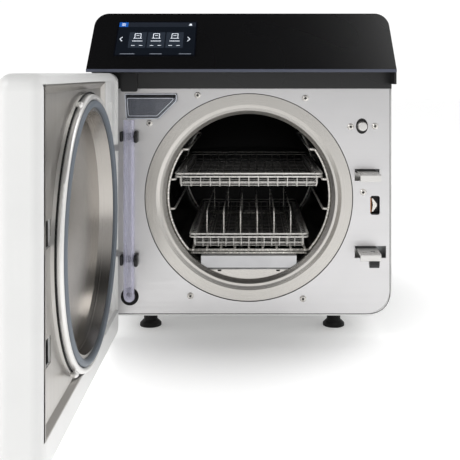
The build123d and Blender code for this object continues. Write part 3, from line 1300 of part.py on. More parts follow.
# Door handle: boss, lever and spindle in one piece
BOSS_RADIUS = 24
BOSS_HEIGHT = 14
LEVER_SHEET = 12
LEVER_WIDTH = 24
handle_gap = FLANGE_SEAT
handle_root = face_in - handle_gap
SPINDLE_END = bar_out + FLANGE_SEAT
with BuildPart() as door_handle:
    with BuildSketch(door_face(handle_root)):
        with Locations((bracket_door_x, HANDLE_Z)):
            Circle(BOSS_RADIUS)
    extrude(amount=BOSS_HEIGHT)
    with BuildSketch(door_face(handle_root - BOSS_HEIGHT)):
        with Locations((bracket_door_x, HANDLE_Z)):
            Circle(BOSS_RADIUS - 2)
        with Locations((bracket_door_x, HANDLE_Z - HANDLE_LENGTH / 2)):
            SlotOverall(HANDLE_LENGTH, LEVER_WIDTH, rotation=90)
    extrude(amount=LEVER_SHEET)
    fillet(door_handle.faces().sort_by(Axis(CENTRE, DOOR_IN))[0].edges(), LEVER_SHEET / 3)
    with BuildSketch(door_face(-SPINDLE_END)):
        with Locations((bracket_door_x, HANDLE_Z)):
            Circle(SPINDLE_RADIUS)
    extrude(amount=-handle_root - SPINDLE_END)
door_handle.part.label = "door_handle"
export_step(door_handle.part, "parts/door_handle.step")

# Inside the cabinet: water reservoir, condensing coil, valves, pipe and control board
RESERVOIR_WIDTH = 300
RESERVOIR_DEPTH = 260
RESERVOIR_HEIGHT = 90
RESERVOIR_WALL = 3
RESERVOIR_INSET = 220
RESERVOIR_Y = CABINET_BACK - RESERVOIR_INSET
RESERVOIR_Z = CHAMBER_Z + vessel_outer + JACKET_THICKNESS
with BuildPart() as water_reservoir:
    with BuildSketch(level_at(RESERVOIR_Z)):
        with Locations((CHAMBER_X, RESERVOIR_Y)):
            RectangleRounded(RESERVOIR_WIDTH, RESERVOIR_DEPTH, 20)
    extrude(amount=RESERVOIR_HEIGHT)
    offset(amount=-RESERVOIR_WALL, openings=water_reservoir.faces().sort_by(Axis.Z)[-1])
water_reservoir.part.label = "water_reservoir"
export_step(water_reservoir.part, "parts/water_reservoir.step")

COIL_ROD = 10
COIL_PITCH = 60
coil_z = RESERVOIR_Z + RESERVOIR_WALL + COIL_ROD / 2
coil_front = RESERVOIR_Y - RESERVOIR_DEPTH / 2 + COIL_PITCH
coil_back = RESERVOIR_Y + RESERVOIR_DEPTH / 2 - COIL_PITCH / 2
coil_bend = COIL_PITCH / 2
with BuildPart() as condensing_coil:
    with BuildLine(level_at(coil_z)):
        Line((CHAMBER_X - coil_bend, coil_back), (CHAMBER_X - coil_bend, coil_front))
        ThreePointArc(
            (CHAMBER_X - coil_bend, coil_front),
            (CHAMBER_X, coil_front - coil_bend),
            (CHAMBER_X + coil_bend, coil_front),
        )
        Line((CHAMBER_X + coil_bend, coil_front), (CHAMBER_X + coil_bend, coil_back))
    with BuildSketch(front_at(coil_back)):
        with Locations((CHAMBER_X - coil_bend, coil_z)):
            Circle(COIL_ROD / 2)
    sweep()
condensing_coil.part.label = "condensing_coil"
export_step(condensing_coil.part, "parts/condensing_coil.step")

VALVE_BODY = 30
VALVE_HEIGHT = 44
VALVE_INSET = 55
VALVE_Y = CABINET_BACK - VALVE_INSET
VALVE_COIL = 17
valve_floor = SHELL_FLOOR + BASE_PLATE
VALVE_PLACES = {"fill_valve": -90, "vent_valve": -30}
for valve_name, valve_x in VALVE_PLACES.items():
    with BuildPart() as valve:
        with BuildSketch(level_at(valve_floor)):
            with Locations((valve_x, VALVE_Y)):
                Rectangle(VALVE_BODY, VALVE_BODY)
        extrude(amount=VALVE_BODY)
        with BuildSketch(level_at(valve_floor + VALVE_BODY)):
            with Locations((valve_x, VALVE_Y)):
                Circle(VALVE_COIL)
        extrude(amount=VALVE_HEIGHT)
    valve.part.label = valve_name
    export_step(valve.part, f"parts/{valve_name}.step")

RELIEF_HEX = 11
RELIEF_LENGTH = 34
RELIEF_RISE = 52
relief_seat = head_point(RELIEF_RISE - RELIEF_HEX)[1]
with BuildPart() as relief_valve:
    with BuildSketch(front_at(relief_seat)):
        with Locations((CHAMBER_X, CHAMBER_Z + RELIEF_RISE)):
            RegularPolygon(RELIEF_HEX, 6)
    extrude(amount=-RELIEF_LENGTH)
relief_valve.part.label = "relief_valve"
export_step(relief_valve.part, "parts/relief_valve.step")

BOARD_WIDTH = 160
BOARD_HEIGHT = 110
BOARD_SHEET = 2
BOARD_X = SHELL_INNER - 6
BOARD_INSET = 160
BOARD_Y = CABINET_BACK - BOARD_INSET
BOARD_Z = 300
CHIP_HEIGHT = 10
with BuildPart() as control_board:
    with BuildSketch(side_at(BOARD_X)):
        with Locations((BOARD_Y, BOARD_Z)):
            Rectangle(BOARD_WIDTH, BOARD_HEIGHT)
    extrude(amount=BOARD_SHEET)
    with BuildSketch(side_at(BOARD_X - CHIP_HEIGHT)):
        with Locations((BOARD_Y, BOARD_Z)):
            with GridLocations(BOARD_WIDTH / 3, BOARD_HEIGHT / 2, 3, 2):
                Rectangle(BOARD_WIDTH / 5, BOARD_HEIGHT / 4)
    extrude(amount=CHIP_HEIGHT)
    with BuildSketch(side_at(BOARD_X)):
        with Locations((BOARD_Y, BOARD_Z)):
            with GridLocations(BOARD_WIDTH * 0.9, BOARD_HEIGHT * 0.9, 2, 2):
                Circle(CONSOLE_WALL)
    extrude(amount=SHELL_INNER - BOARD_X)
control_board.part.label = "control_board"
export_step(control_board.part, "parts/control_board.step")

# Power inlet and rocker switch in the rear panel
INLET_DEPTH = 20
INLET_FLANGE = 5
INLET_WALL = 2
rear_outside = CABINET_BACK - REAR_INSET
with BuildPart() as power_inlet:
    with BuildSketch(front_at(rear_outside)):
        with Locations((INLET_X, INLET_Z)):
            RectangleRounded(INLET_WIDTH - SEAM, INLET_HEIGHT - SEAM, 3)
    extrude(amount=INLET_DEPTH)
    with BuildSketch(front_at(rear_outside)):
        with Locations((INLET_X, INLET_Z)):
            RectangleRounded(INLET_WIDTH + 2 * INLET_FLANGE, INLET_HEIGHT + 2 * INLET_FLANGE, INLET_FLANGE)
    extrude(amount=-INLET_WALL)
    with BuildSketch(front_at(rear_outside + INLET_WALL)):
        with Locations((INLET_X, INLET_Z)):
            Rectangle(INLET_WIDTH - 2 * INLET_WALL, INLET_HEIGHT - 2 * INLET_WALL)
    extrude(amount=INLET_DEPTH, mode=Mode.SUBTRACT)
    with BuildSketch(front_at(rear_outside)):
        with Locations((INLET_X, INLET_Z)):
            with GridLocations(7, 1, 3, 1):
                Rectangle(1.5, 5)
    extrude(amount=INLET_DEPTH - 1)
power_inlet.part.label = "power_inlet"
export_step(power_inlet.part, "parts/power_inlet.step")

ROCKER_GAP = 0.4
ROCKER_RADIUS = 22
ROCKER_DEPTH = 10
ROCKER_PROUD = 4
rocker_z = SWITCH_HEIGHT / 2 - INLET_WALL - ROCKER_GAP
with BuildPart() as power_switch:
    with BuildSketch(front_at(rear_outside)):
        with Locations((SWITCH_X, INLET_Z)):
            Rectangle(SWITCH_WIDTH - SEAM, SWITCH_HEIGHT - SEAM)
    extrude(amount=INLET_DEPTH)
    with BuildSketch(front_at(rear_outside)):
        with Locations((SWITCH_X, INLET_Z)):
            Rectangle(SWITCH_WIDTH + 2, SWITCH_HEIGHT + 2)
    extrude(amount=-INLET_WALL)
    with BuildSketch(front_at(rear_outside + INLET_WALL)):
        with Locations((SWITCH_X, INLET_Z)):
            Rectangle(SWITCH_WIDTH - 2 * INLET_WALL, SWITCH_HEIGHT - 2 * INLET_WALL)
    extrude(amount=ROCKER_DEPTH + 2 * INLET_WALL, mode=Mode.SUBTRACT)
power_switch.part.label = "power_switch"
export_step(power_switch.part, "parts/power_switch.step")

with BuildPart() as power_rocker:
    with BuildSketch(side_at(SWITCH_X - SWITCH_WIDTH / 2 + INLET_WALL + ROCKER_GAP)):
        with BuildLine():
            Polyline(
                (rear_outside - ROCKER_DEPTH / 2, INLET_Z - rocker_z * 0.6),
                (rear_outside, INLET_Z - rocker_z * 0.9),
                (rear_outside + ROCKER_PROUD, INLET_Z - rocker_z * 0.85),
                (rear_outside + ROCKER_PROUD / 2, INLET_Z),
                (rear_outside + ROCKER_PROUD, INLET_Z + rocker_z * 0.85),
                (rear_outside, INLET_Z + rocker_z * 0.9),
                (rear_outside - ROCKER_DEPTH / 2, INLET_Z + rocker_z * 0.6),
                close=True,
            )
        make_face()
    extrude(amount=SWITCH_WIDTH - 2 * INLET_WALL - 2 * ROCKER_GAP)
power_rocker.part.label = "power_rocker"
export_step(power_rocker.part, "parts/power_rocker.step")
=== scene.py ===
from math import asin, cos, degrees, pi, radians, sin, sqrt

import bmesh
import bpy
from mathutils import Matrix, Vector


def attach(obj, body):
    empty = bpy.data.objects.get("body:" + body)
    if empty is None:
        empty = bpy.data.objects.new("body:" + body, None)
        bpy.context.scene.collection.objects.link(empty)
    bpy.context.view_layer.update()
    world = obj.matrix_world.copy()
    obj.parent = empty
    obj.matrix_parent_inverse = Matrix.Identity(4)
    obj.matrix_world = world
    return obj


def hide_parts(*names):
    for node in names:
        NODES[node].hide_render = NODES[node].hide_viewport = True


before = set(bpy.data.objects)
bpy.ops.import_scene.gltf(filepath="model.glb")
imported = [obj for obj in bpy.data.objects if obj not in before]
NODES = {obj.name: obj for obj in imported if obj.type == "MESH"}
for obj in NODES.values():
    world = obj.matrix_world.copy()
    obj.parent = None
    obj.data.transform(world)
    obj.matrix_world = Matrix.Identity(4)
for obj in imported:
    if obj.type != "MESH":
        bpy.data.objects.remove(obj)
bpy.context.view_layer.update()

# The CAD drawing is made about the cabinet's middle. MID moves its millimetres into the row's frame.
MID = Vector((162.5, 202.0, 0.0))

# Places of the drawing that several pieces share, in millimetres.
CHAMBER_X, CHAMBER_Z = 12, 238
PANEL_FRONT = -280
DOOR_RING_Y = -550


def at(x, y, z):
    """A point of the drawing, in millimetres, as a point of the scene."""
    return (Vector((x, y, z)) + MID) / 1000


# ---------------------------------------------------------------- camera and light

IMAGE_PIXELS = 460
FOCAL_PIXELS = 790
SENSOR = 36.0
CAMERA_PLACE = (0.1765, -1.405, 0.447)
CAMERA_SHIFT = (-0.0435, -0.341)
FARTHEST = 50

camera_data = bpy.data.cameras.new("camera")
camera = bpy.data.objects.new("camera", camera_data)
bpy.context.scene.collection.objects.link(camera)
camera.location = CAMERA_PLACE
camera.rotation_euler = (radians(90), 0, 0)
camera_data.sensor_width = SENSOR
camera_data.lens = FOCAL_PIXELS / IMAGE_PIXELS * SENSOR
camera_data.shift_x, camera_data.shift_y = CAMERA_SHIFT
camera_data.clip_end = FARTHEST
bpy.context.scene.camera = camera


def area_light(name, place, target, size, power):
    """A rectangular soft light at a place, aimed at a target."""
    data = bpy.data.lights.new(name, "AREA")
    data.shape = "RECTANGLE"
    data.size, data.size_y = size
    data.energy = power
    light = bpy.data.objects.new(name, data)
    bpy.context.scene.collection.objects.link(light)
    light.location = place
    aim = Vector(target) - Vector(place)
    light.rotation_euler = aim.to_track_quat("-Z", "Y").to_euler()


area_light("key", (-1.5, -1.5, 1.9), (0.15, 0.0, 0.25), size=(1.2, 1.2), power=26)
area_light("fill", (2.1, -1.5, 1.2), (0.2, 0.0, 0.25), size=(1.0, 1.6), power=4)
area_light("top", (1.5, 0.3, 2.3), (0.3, 0.1, 0.3), size=(1.2, 1.6), power=17)

# The studio's brightness: in front at the left and at the right, behind, and overhead as a share.
FRONT_LEFT, FRONT_RIGHT = 0.52, 0.55
BEHIND = 1.05
OVERHEAD = 0.015

world = bpy.data.worlds.new("studio")
bpy.context.scene.world = world
world.use_nodes = True
world_tree = world.node_tree
background = world_tree.nodes["Background"]
background.inputs["Color"].default_value = (1, 1, 1, 1)
direction = world_tree.nodes.new("ShaderNodeTexCoord")
split = world_tree.nodes.new("ShaderNodeSeparateXYZ")
world_tree.links.new(direction.outputs["Generated"], split.inputs["Vector"])


def world_ramp(axis, start, end, low, high):
    """A smooth step of the studio's brightness along one axis of the direction looked in."""
    made = world_tree.nodes.new("ShaderNodeMapRange")
    made.interpolation_type = "SMOOTHSTEP"
    made.inputs["From Min"].default_value = start
    made.inputs["From Max"].default_value = end
    made.inputs["To Min"].default_value = low
    made.inputs["To Max"].default_value = high
    world_tree.links.new(split.outputs[axis], made.inputs["Value"])
    return made.outputs["Result"]


# The studio is white behind the object, grey in front of it and dark overhead.
blend_sides = world_tree.nodes.new("ShaderNodeMix")
blend_sides.data_type = "FLOAT"
world_tree.links.new(world_ramp("Y", -0.25, 0.35, 0, 1), blend_sides.inputs[0])
world_tree.links.new(world_ramp("X", -0.5, 0.5, FRONT_LEFT, FRONT_RIGHT), blend_sides.inputs[2])
blend_sides.inputs[3].default_value = BEHIND
dim = world_tree.nodes.new("ShaderNodeMath")
dim.operation = "MULTIPLY"
world_tree.links.new(blend_sides.outputs[0], dim.inputs[0])
world_tree.links.new(world_ramp("Z", 0.4, 0.85, 1, OVERHEAD), dim.inputs[1])
world_tree.links.new(dim.outputs["Value"], background.inputs["Strength"])
bpy.context.scene.view_settings.view_transform = "Standard"


# ---------------------------------------------------------------- materials

# Noise lies mostly between these two values.
NOISE_LOW, NOISE_HIGH = 0.3, 0.7


def tinted(colour, share):
    return tuple(share * v for v in colour)


def per_axis(axis, on_it, across):
    """One value for the named axis and another for the two others."""
    return tuple(on_it if name == axis else across for name in "xyz")


class Shader:
    """One Principled material with helpers for its noise, bump and colour."""

    def __init__(self, name, colour, rough, metal=0.0, **inputs):
        self.material = bpy.data.materials.new(name)
        self.material.use_nodes = True
        self.tree = self.material.node_tree
        self.bsdf = self.tree.nodes["Principled BSDF"]
        self.bsdf.inputs["Base Color"].default_value = (*colour, 1)
        self.bsdf.inputs["Roughness"].default_value = rough
        self.bsdf.inputs["Metallic"].default_value = metal
        for key, value in inputs.items():
            self.bsdf.inputs[key.replace("_", " ")].default_value = value
        self.colour = colour
        self.rough = rough

    def node(self, kind, **settings):
        made = self.tree.nodes.new(kind)
        for key, value in settings.items():
            setattr(made, key, value)
        return made

    def link(self, a, b):
        self.tree.links.new(a, b)

    def coordinates(self, scale=(1, 1, 1)):
        source = self.node("ShaderNodeTexCoord")
        mapping = self.node("ShaderNodeMapping")
        mapping.inputs["Scale"].default_value = scale
        self.link(source.outputs["Object"], mapping.inputs["Vector"])
        return mapping.outputs["Vector"]

    def radial(self, centre, scale, axis):
        """Distance from an axis, scaled, for marks that run round it."""
        source = self.node("ShaderNodeTexCoord")
        move = self.node("ShaderNodeMapping")
        move.inputs["Location"].default_value = tinted(centre, -1)
        self.link(source.outputs["Object"], move.inputs["Vector"])
        flatten = self.node("ShaderNodeVectorMath", operation="MULTIPLY")
        flatten.inputs[1].default_value = per_axis(axis, 0, 1)
        self.link(move.outputs["Vector"], flatten.inputs[0])
        length = self.node("ShaderNodeVectorMath", operation="LENGTH")
        self.link(flatten.outputs["Vector"], length.inputs[0])
        grow = self.node("ShaderNodeMath", operation="MULTIPLY")
        grow.inputs[1].default_value = scale
        self.link(length.outputs["Value"], grow.inputs[0])
        join = self.node("ShaderNodeCombineXYZ")
        self.link(grow.outputs["Value"], join.inputs["X"])
        return join.outputs["Vector"]

    def noise(self, vector, scale, detail):
        made = self.node("ShaderNodeTexNoise")
        made.inputs["Scale"].default_value = scale
        made.inputs["Detail"].default_value = detail
        self.link(vector, made.inputs["Vector"])
        return made.outputs["Fac"]

    def spread(self, value, low, high):
        """Stretches a noise value from low to high."""
        made = self.node("ShaderNodeMapRange")
        made.inputs["From Min"].default_value = NOISE_LOW
        made.inputs["From Max"].default_value = NOISE_HIGH
        made.inputs["To Min"].default_value = low
        made.inputs["To Max"].default_value = high
        self.link(value, made.inputs["Value"])
        return made.outputs["Result"]

    def vary_rough(self, value, amount):
        varied = self.spread(value, self.rough - amount, self.rough + amount)
        self.link(varied, self.bsdf.inputs["Roughness"])

    def vary_colour(self, value, other):
        ramp = self.node("ShaderNodeMix", data_type="RGBA")
        ramp.inputs[6].default_value = (*self.colour, 1)
        ramp.inputs[7].default_value = (*other, 1)
        self.link(self.spread(value, 0, 1), ramp.inputs[0])
        self.link(ramp.outputs[2], self.bsdf.inputs["Base Color"])

    def bump(self, value, depth, strength):
        made = self.node("ShaderNodeBump")
        made.inputs["Distance"].default_value = depth
        made.inputs["Strength"].default_value = strength
        self.link(value, made.inputs["Height"])
        self.link(made.outputs["Normal"], self.bsdf.inputs["Normal"])

    def paint_depth_shade(self, axis, start, end, dark):
        """Paints shade: darkens the colour from one depth to another along an axis of the row, in
        metres.
        """
        source = self.node("ShaderNodeTexCoord")
        parts = self.node("ShaderNodeSeparateXYZ")
        self.link(source.outputs["Object"], parts.inputs["Vector"])
        depth = self.node("ShaderNodeMapRange", interpolation_type="SMOOTHSTEP")
        depth.inputs["From Min"].default_value = start
        depth.inputs["From Max"].default_value = end
        self.link(parts.outputs[axis], depth.inputs["Value"])
        mixed = self.node("ShaderNodeMix", data_type="RGBA")
        before = self.bsdf.inputs["Base Color"].links[0].from_socket
        self.link(depth.outputs["Result"], mixed.inputs[0])
        self.link(before, mixed.inputs[6])
        mixed.inputs[7].default_value = (*dark, 1)
        self.link(mixed.outputs[2], self.bsdf.inputs["Base Color"])


def powder_coat(name, colour, rough):
    """Powder coat: a fine orange peel with a little unevenness in its gloss."""
    made = Shader(name, colour, rough)
    fine = made.noise(made.coordinates(), scale=900, detail=2)
    wide = made.noise(made.coordinates(), scale=14, detail=4)
    made.bump(fine, depth=0.00004, strength=0.5)
    made.vary_rough(wide, amount=0.05)
    made.vary_colour(wide, tinted(colour, 0.975))
    return made.material


def moulded(name, colour, rough, grain=0.00003, scale=1600, **inputs):
    """Moulded plastic, or rubber, with a fine grain."""
    made = Shader(name, colour, rough, **inputs)
    fine = made.noise(made.coordinates(), scale, detail=2)
    wide = made.noise(made.coordinates(), scale=22, detail=3)
    made.bump(fine, grain, strength=0.6)
    made.vary_rough(wide, amount=0.05)
    made.vary_colour(wide, tuple(min(1, 1.12 * v + 0.002) for v in colour))
    return made.material


def brushed(name, colour, rough, along, depth=0.00003, aniso=0.35, metal=1.0):
    """Steel brushed in one direction: along is the axis of the strokes."""
    made = Shader(name, colour, rough, metal)
    stretch = per_axis(along, 6, 700)
    strokes = made.noise(made.coordinates(stretch), scale=1, detail=3)
    wide = made.noise(made.coordinates(), scale=7, detail=3)
    made.bump(strokes, depth, strength=0.5)
    made.vary_rough(strokes, amount=0.06)
    made.vary_colour(wide, tinted(colour, 0.93))
    made.bsdf.inputs["Anisotropic"].default_value = aniso
    return made.material


def turned(name, colour, rough, centre, axis, pitch=2200, depth=0.00002, metal=1.0, inside=None):
    """Steel polished round an axis: rings of fine strokes. inside is a painted shade that darkens it
    with depth.
    """
    made = Shader(name, colour, rough, metal)
    rings = made.noise(made.radial(centre, pitch, axis), scale=1, detail=3)
    wide = made.noise(made.coordinates(), scale=9, detail=3)
    made.bump(rings, depth, strength=0.5)
    made.vary_rough(rings, amount=0.05)
    made.vary_colour(wide, tinted(colour, 0.94))
    if inside:
        made.paint_depth_shade(*inside)
    return made.material


def bare_metal(name, colour, rough, metal, other, gloss, tint, inside=None):
    """Metal with uneven gloss and colour: gloss is (scale, detail, amount), tint (scale, detail)."""
    made = Shader(name, colour, rough, metal)
    scale, detail, amount = gloss
    made.vary_rough(made.noise(made.coordinates(), scale, detail), amount)
    # inside is a painted shade that darkens the colour with depth.
    made.vary_colour(made.noise(made.coordinates(), *tint), other)
    if inside:
        made.paint_depth_shade(*inside)
    return made.material


def clear(name, colour, alpha, rough=0.08):
    """Clear moulded plastic: alpha is its cover seen square on and at a glancing angle."""
    made = Shader(name, colour, rough, IOR=1.49)
    facing = made.node("ShaderNodeLayerWeight")
    facing.inputs["Blend"].default_value = 0.35
    cover = made.node("ShaderNodeMapRange")
    cover.inputs["To Min"].default_value = alpha[0]
    cover.inputs["To Max"].default_value = alpha[1]
    made.link(facing.outputs["Facing"], cover.inputs["Value"])
    made.link(cover.outputs["Result"], made.bsdf.inputs["Alpha"])
    streaks = made.noise(made.coordinates((1, 1, 0.2)), scale=60, detail=2)
    made.vary_rough(streaks, amount=0.02)
    made.material.surface_render_method = "BLENDED"
    return made.material


def glow(name, colour, strength):
    """A lit patch of the display."""
    made = Shader(name, colour, 0.3)
    made.bsdf.inputs["Emission Color"].default_value = (*colour, 1)
    made.bsdf.inputs["Emission Strength"].default_value = strength
    return made.material


def console_black():
    """Gloss black plastic with a very fine grain."""
    made = Shader("console_black", (0.004, 0.004, 0.0045), 0.27, Specular_IOR_Level=0.62)
    made.bump(made.noise(made.coordinates(), scale=1600, detail=2), depth=0.000008, strength=0.5)
    made.vary_rough(made.noise(made.coordinates(), scale=5, detail=1), amount=0.012)
    return made.material


def screen_glass():
    """The dark glass over the display."""
    made = Shader("screen_glass", (0.004, 0.005, 0.009), 0.12, Coat_Weight=0.6)
    made.vary_rough(made.noise(made.coordinates(), scale=30, detail=3), amount=0.02)
    return made.material


CHAMBER_AXIS = tuple(at(CHAMBER_X, 0, CHAMBER_Z))
DOOR_RING_AXIS = tuple(at(0, DOOR_RING_Y, CHAMBER_Z))
# Painted shade: the vessel's inside darkens to near black from its mouth inwards, and the trays'
# wires darken deeper in the chamber.
VESSEL_PAINTED_SHADE = ("Y", -0.066, -0.03, (0.010, 0.010, 0.010))
TRAY_PAINTED_SHADE = ("Y", -0.05, 0.08, (0.24, 0.23, 0.22))
WIRE_GLOSS, WIRE_TINT = (220, 3, 0.07), (30, 2)

WHITE = powder_coat("white_powder_coat", (0.83, 0.83, 0.82), 0.38)
BLACK = console_black()
# The console's lip is coloured blue-grey: a painted highlight along the black console's front edge.
LIP_HIGHLIGHT = moulded("lip_blue_grey_highlight", (0.07, 0.078, 0.11), 0.22, grain=0.00001)
PANEL = brushed("panel_brushed", (0.69, 0.683, 0.687), 0.36, "x")
BRACKET = brushed("bracket_brushed", (0.72, 0.71, 0.69), 0.34, "x", metal=0.6)
RING = turned("flange_turned", (0.57, 0.55, 0.52), 0.27, CHAMBER_AXIS, "y")
# Its inside is painted near black with depth, as painted shade.
VESSEL = turned("vessel_polished_painted_shade", (0.55, 0.53, 0.50), 0.24, CHAMBER_AXIS, "y", inside=VESSEL_PAINTED_SHADE)
DISH = turned("dish_polished", (0.47, 0.445, 0.415), 0.24, DOOR_RING_AXIS, "x", depth=0.000008)
DOOR_RING = turned(
    "door_ring_polished",
    (0.86, 0.85, 0.83),
    0.34,
    DOOR_RING_AXIS,
    "x",
    pitch=600,
    depth=0.000004,
    metal=0.6,
)
LINER = brushed("liner_brushed", (0.61, 0.59, 0.56), 0.34, "z", depth=0.000008, aniso=0.2)
WIRE = bare_metal(
    "wire_polished",
    (0.86, 0.84, 0.80),
    0.26,
    0.55,
    other=(0.70, 0.675, 0.63),
    gloss=WIRE_GLOSS,
    tint=WIRE_TINT,
)
# Its wires darken deeper in the chamber, as painted shade.
TRAY_WIRE = bare_metal(
    "tray_wire_painted_shade",
    (0.97, 0.95, 0.91),
    0.3,
    0.25,
    other=(0.86, 0.84, 0.80),
    gloss=WIRE_GLOSS,
    tint=WIRE_TINT,
    inside=TRAY_PAINTED_SHADE,
)
GALVANISED = bare_metal(
    "galvanised",
    (0.55, 0.56, 0.57),
    0.42,
    1.0,
    other=(0.43, 0.44, 0.46),
    gloss=(60, 4, 0.1),
    tint=(90, 4),
)
GASKET = moulded("gasket_rubber", (0.135, 0.157, 0.185), 0.48, grain=0.00002)
RUBBER = moulded(
    "black_rubber", (0.006, 0.006, 0.006), 0.6, grain=0.00005, scale=900, Specular_IOR_Level=0.22
)
BLACK_PLASTIC = moulded("black_plastic", (0.009, 0.009, 0.0095), 0.4, Specular_IOR_Level=0.42)
WHITE_PLASTIC = moulded("white_plastic", (0.80, 0.80, 0.79), 0.35)
GREY_PLASTIC = moulded("grey_plastic", (0.73, 0.73, 0.745), 0.4)
CLEAR = clear("clear_plastic", (0.16, 0.17, 0.20), (0.62, 0.8))
# Near-opaque pale lines of it are painted highlights along clear plastic's edges.
CLEAR_HIGHLIGHT = clear("clear_edge_highlight", (0.86, 0.89, 0.97), (0.9, 1.0), 0.2)
CLEAR_TUBE = clear("clear_tube", (0.84, 0.83, 1.0), (0.12, 1.0), 0.1)
ORANGE = moulded("orange_seal", (0.42, 0.15, 0.03), 0.45)
BOARD = moulded("circuit_board", (0.03, 0.22, 0.10), 0.4)
COPPER = bare_metal(
    "copper_pipe",
    (0.78, 0.42, 0.27),
    0.3,
    1.0,
    other=(0.62, 0.30, 0.18),
    gloss=(50, 4, 0.1),
    tint=(30, 4),
)
WOOL = moulded("insulation_wool", (0.62, 0.60, 0.54), 0.9, grain=0.0012, scale=260)
SCREEN = screen_glass()

DRESS = {
    "outer_shell": WHITE,
    "rear_panel": WHITE,
    "base_plate": GALVANISED,
    "frame_posts": GALVANISED,
    "front_panel": PANEL,
    "chamber_flange": RING,
    "chamber_vessel": VESSEL,
    "insulation_jacket": WOOL,
    "water_dam": RING,
    "heater_guard": GREY_PLASTIC,
    "heating_element": GALVANISED,
    "temperature_probe": WIRE,
    "fill_funnel": CLEAR,
    "drain_tube": CLEAR_TUBE,
    "tube_clips": BLACK_PLASTIC,
    "tube_grommet": RUBBER,
    "panel_screws": BRACKET,
    "door_switch": BLACK_PLASTIC,
    "switch_plunger": BRACKET,
    "upper_latch_bracket": BRACKET,
    "lower_latch_bracket": BRACKET,
    "lower_catch": BLACK_PLASTIC,
    "lock_body": BLACK_PLASTIC,
    "lock_strip": ORANGE,
    "lock_hook": WIRE,
    "console_housing": BLACK,
    "console_trim": LIP_HIGHLIGHT,
    "touch_display": SCREEN,
    "top_cover": BLACK,
    "hinge_cover": BLACK_PLASTIC,
    "hinge_arms": GALVANISED,
    "hinge_lugs": GALVANISED,
    "hinge_pins": BRACKET,
    "water_reservoir": WHITE_PLASTIC,
    "condensing_coil": COPPER,
    "fill_valve": COPPER,
    "vent_valve": COPPER,
    "relief_valve": COPPER,
    "control_board": BOARD,
    "power_inlet": BLACK_PLASTIC,
    "power_switch": BLACK_PLASTIC,
    "power_rocker": BLACK_PLASTIC,
    "door_shell": WHITE,
    "door_cover": WHITE_PLASTIC,
    "door_liner": LINER,
    "door_ring": DOOR_RING,
    "door_gasket": GASKET,
    "door_dish": DISH,
    "door_yoke": GALVANISED,
    "latch_guides": GALVANISED,
    "latch_bar": GALVANISED,
    "door_handle": BLACK_PLASTIC,
    "tray_rack": WIRE,
    "upper_tray": WIRE,
    "lower_tray": WIRE,
    "pouch_rack": WIRE,
    "foot_front_left": RUBBER,
    "foot_front_right": RUBBER,
    "foot_rear_left": RUBBER,
    "foot_rear_right": RUBBER,
}
for node_name, material in DRESS.items():
    for material_slot in NODES[node_name].material_slots:
        material_slot.material = material


# ---------------------------------------------------------------- mesh helpers

# A wire is (points in drawing millimetres, radius in millimetres, OPEN or LOOP).
OPEN, LOOP = False, True


def turns(count):
    """Angles of count equal steps of a full turn, in radians."""
    return [2 * pi * step / count for step in range(count)]


def circle(axis, centre, radius, steps=96):
    """Points of a circle round a line along one axis of the drawing."""
    first, second = {"x": (1, 2), "y": (0, 2), "z": (0, 1)}[axis]
    made = []
    for angle in turns(steps):
        point = list(centre)
        point[first] += radius * cos(angle)
        point[second] += radius * sin(angle)
        made.append(point)
    return made


def rounded(points, radius, closed=OPEN, steps=5):
    """A run of points with its corners rounded."""
    count = len(points)
    made = []
    for index, point in enumerate(points):
        here = Vector(point)
        if not closed and index in (0, count - 1):
            made.append(here)
            continue
        back = Vector(points[index - 1]) - here
        on = Vector(points[(index + 1) % count]) - here
        cut = min(radius, back.length * 0.49, on.length * 0.49)
        start = here + back.normalized() * cut
        end = here + on.normalized() * cut
        for step in range(steps + 1):
            t = step / steps
            made.append(start * (1 - t) ** 2 + here * 2 * t * (1 - t) + end * t * t)
    return made


def join_rings(mesh, low, high):
    """Faces between two rings of as many vertices."""
    for step in range(len(low)):
        after = (step + 1) % len(low)
        mesh.faces.new((low[step], low[after], high[after], high[step]))


def sweep_round(mesh, points, radius, sides, closed):
    """Adds a round wire along points to a bmesh, with flat ends."""
    count = len(points)
    rings = []
    normal = None
    for index, point in enumerate(points):
        if closed:
            tangent = points[(index + 1) % count] - points[index - 1]
        else:
            tangent = points[min(index + 1, count - 1)] - points[max(index - 1, 0)]
        tangent.normalize()
        if normal is None:
            normal = Vector((0, 0, 1)) if abs(tangent.z) < 0.9 else Vector((1, 0, 0))
        normal = (normal - tangent * normal.dot(tangent)).normalized()
        side = tangent.cross(normal)
        ring = []
        for angle in turns(sides):
            ring.append(mesh.verts.new(point + (normal * cos(angle) + side * sin(angle)) * radius))
        rings.append(ring)
    for low, high in zip(rings, rings[1:]):
        join_rings(mesh, low, high)
    if closed:
        join_rings(mesh, rings[-1], rings[0])
    else:
        mesh.faces.new(rings[0])
        mesh.faces.new(list(reversed(rings[-1])))


def lathe(mesh, centre, profile, sides):
    """Turns a profile of (radius, y) millimetres, with its end on the axis, round a line along Y."""
    rings = []
    for radius, y in profile:
        middle = (centre[0], centre[1] + y, centre[2])
        ring = circle("y", middle, radius, sides if radius else 1)
        rings.append([mesh.verts.new(at(*point)) for point in ring])
    *rings, tip = rings
    for low, high in zip(rings, rings[1:]):
        join_rings(mesh, low, high)
    last = rings[-1]
    for step in range(sides):
        mesh.faces.new((last[step], last[(step + 1) % sides], tip[0]))


def rounded_box(mesh, low, high, bevel):
    """A box in drawing millimetres with every edge rounded."""
    made = bmesh.ops.create_cube(mesh, size=1)
    corner, far = at(*low), at(*high)
    for vertex in made["verts"]:
        share = vertex.co + Vector((0.5, 0.5, 0.5))
        vertex.co = Vector([a + (b - a) * t for a, b, t in zip(corner, far, share)])
    edges = list(dict.fromkeys(edge for vertex in made["verts"] for edge in vertex.link_edges))
    bmesh.ops.bevel(
        mesh,
        geom=edges,
        offset=bevel / 1000,
        segments=3,
        profile=0.5,
        affect="EDGES",
        clamp_overlap=True,
    )


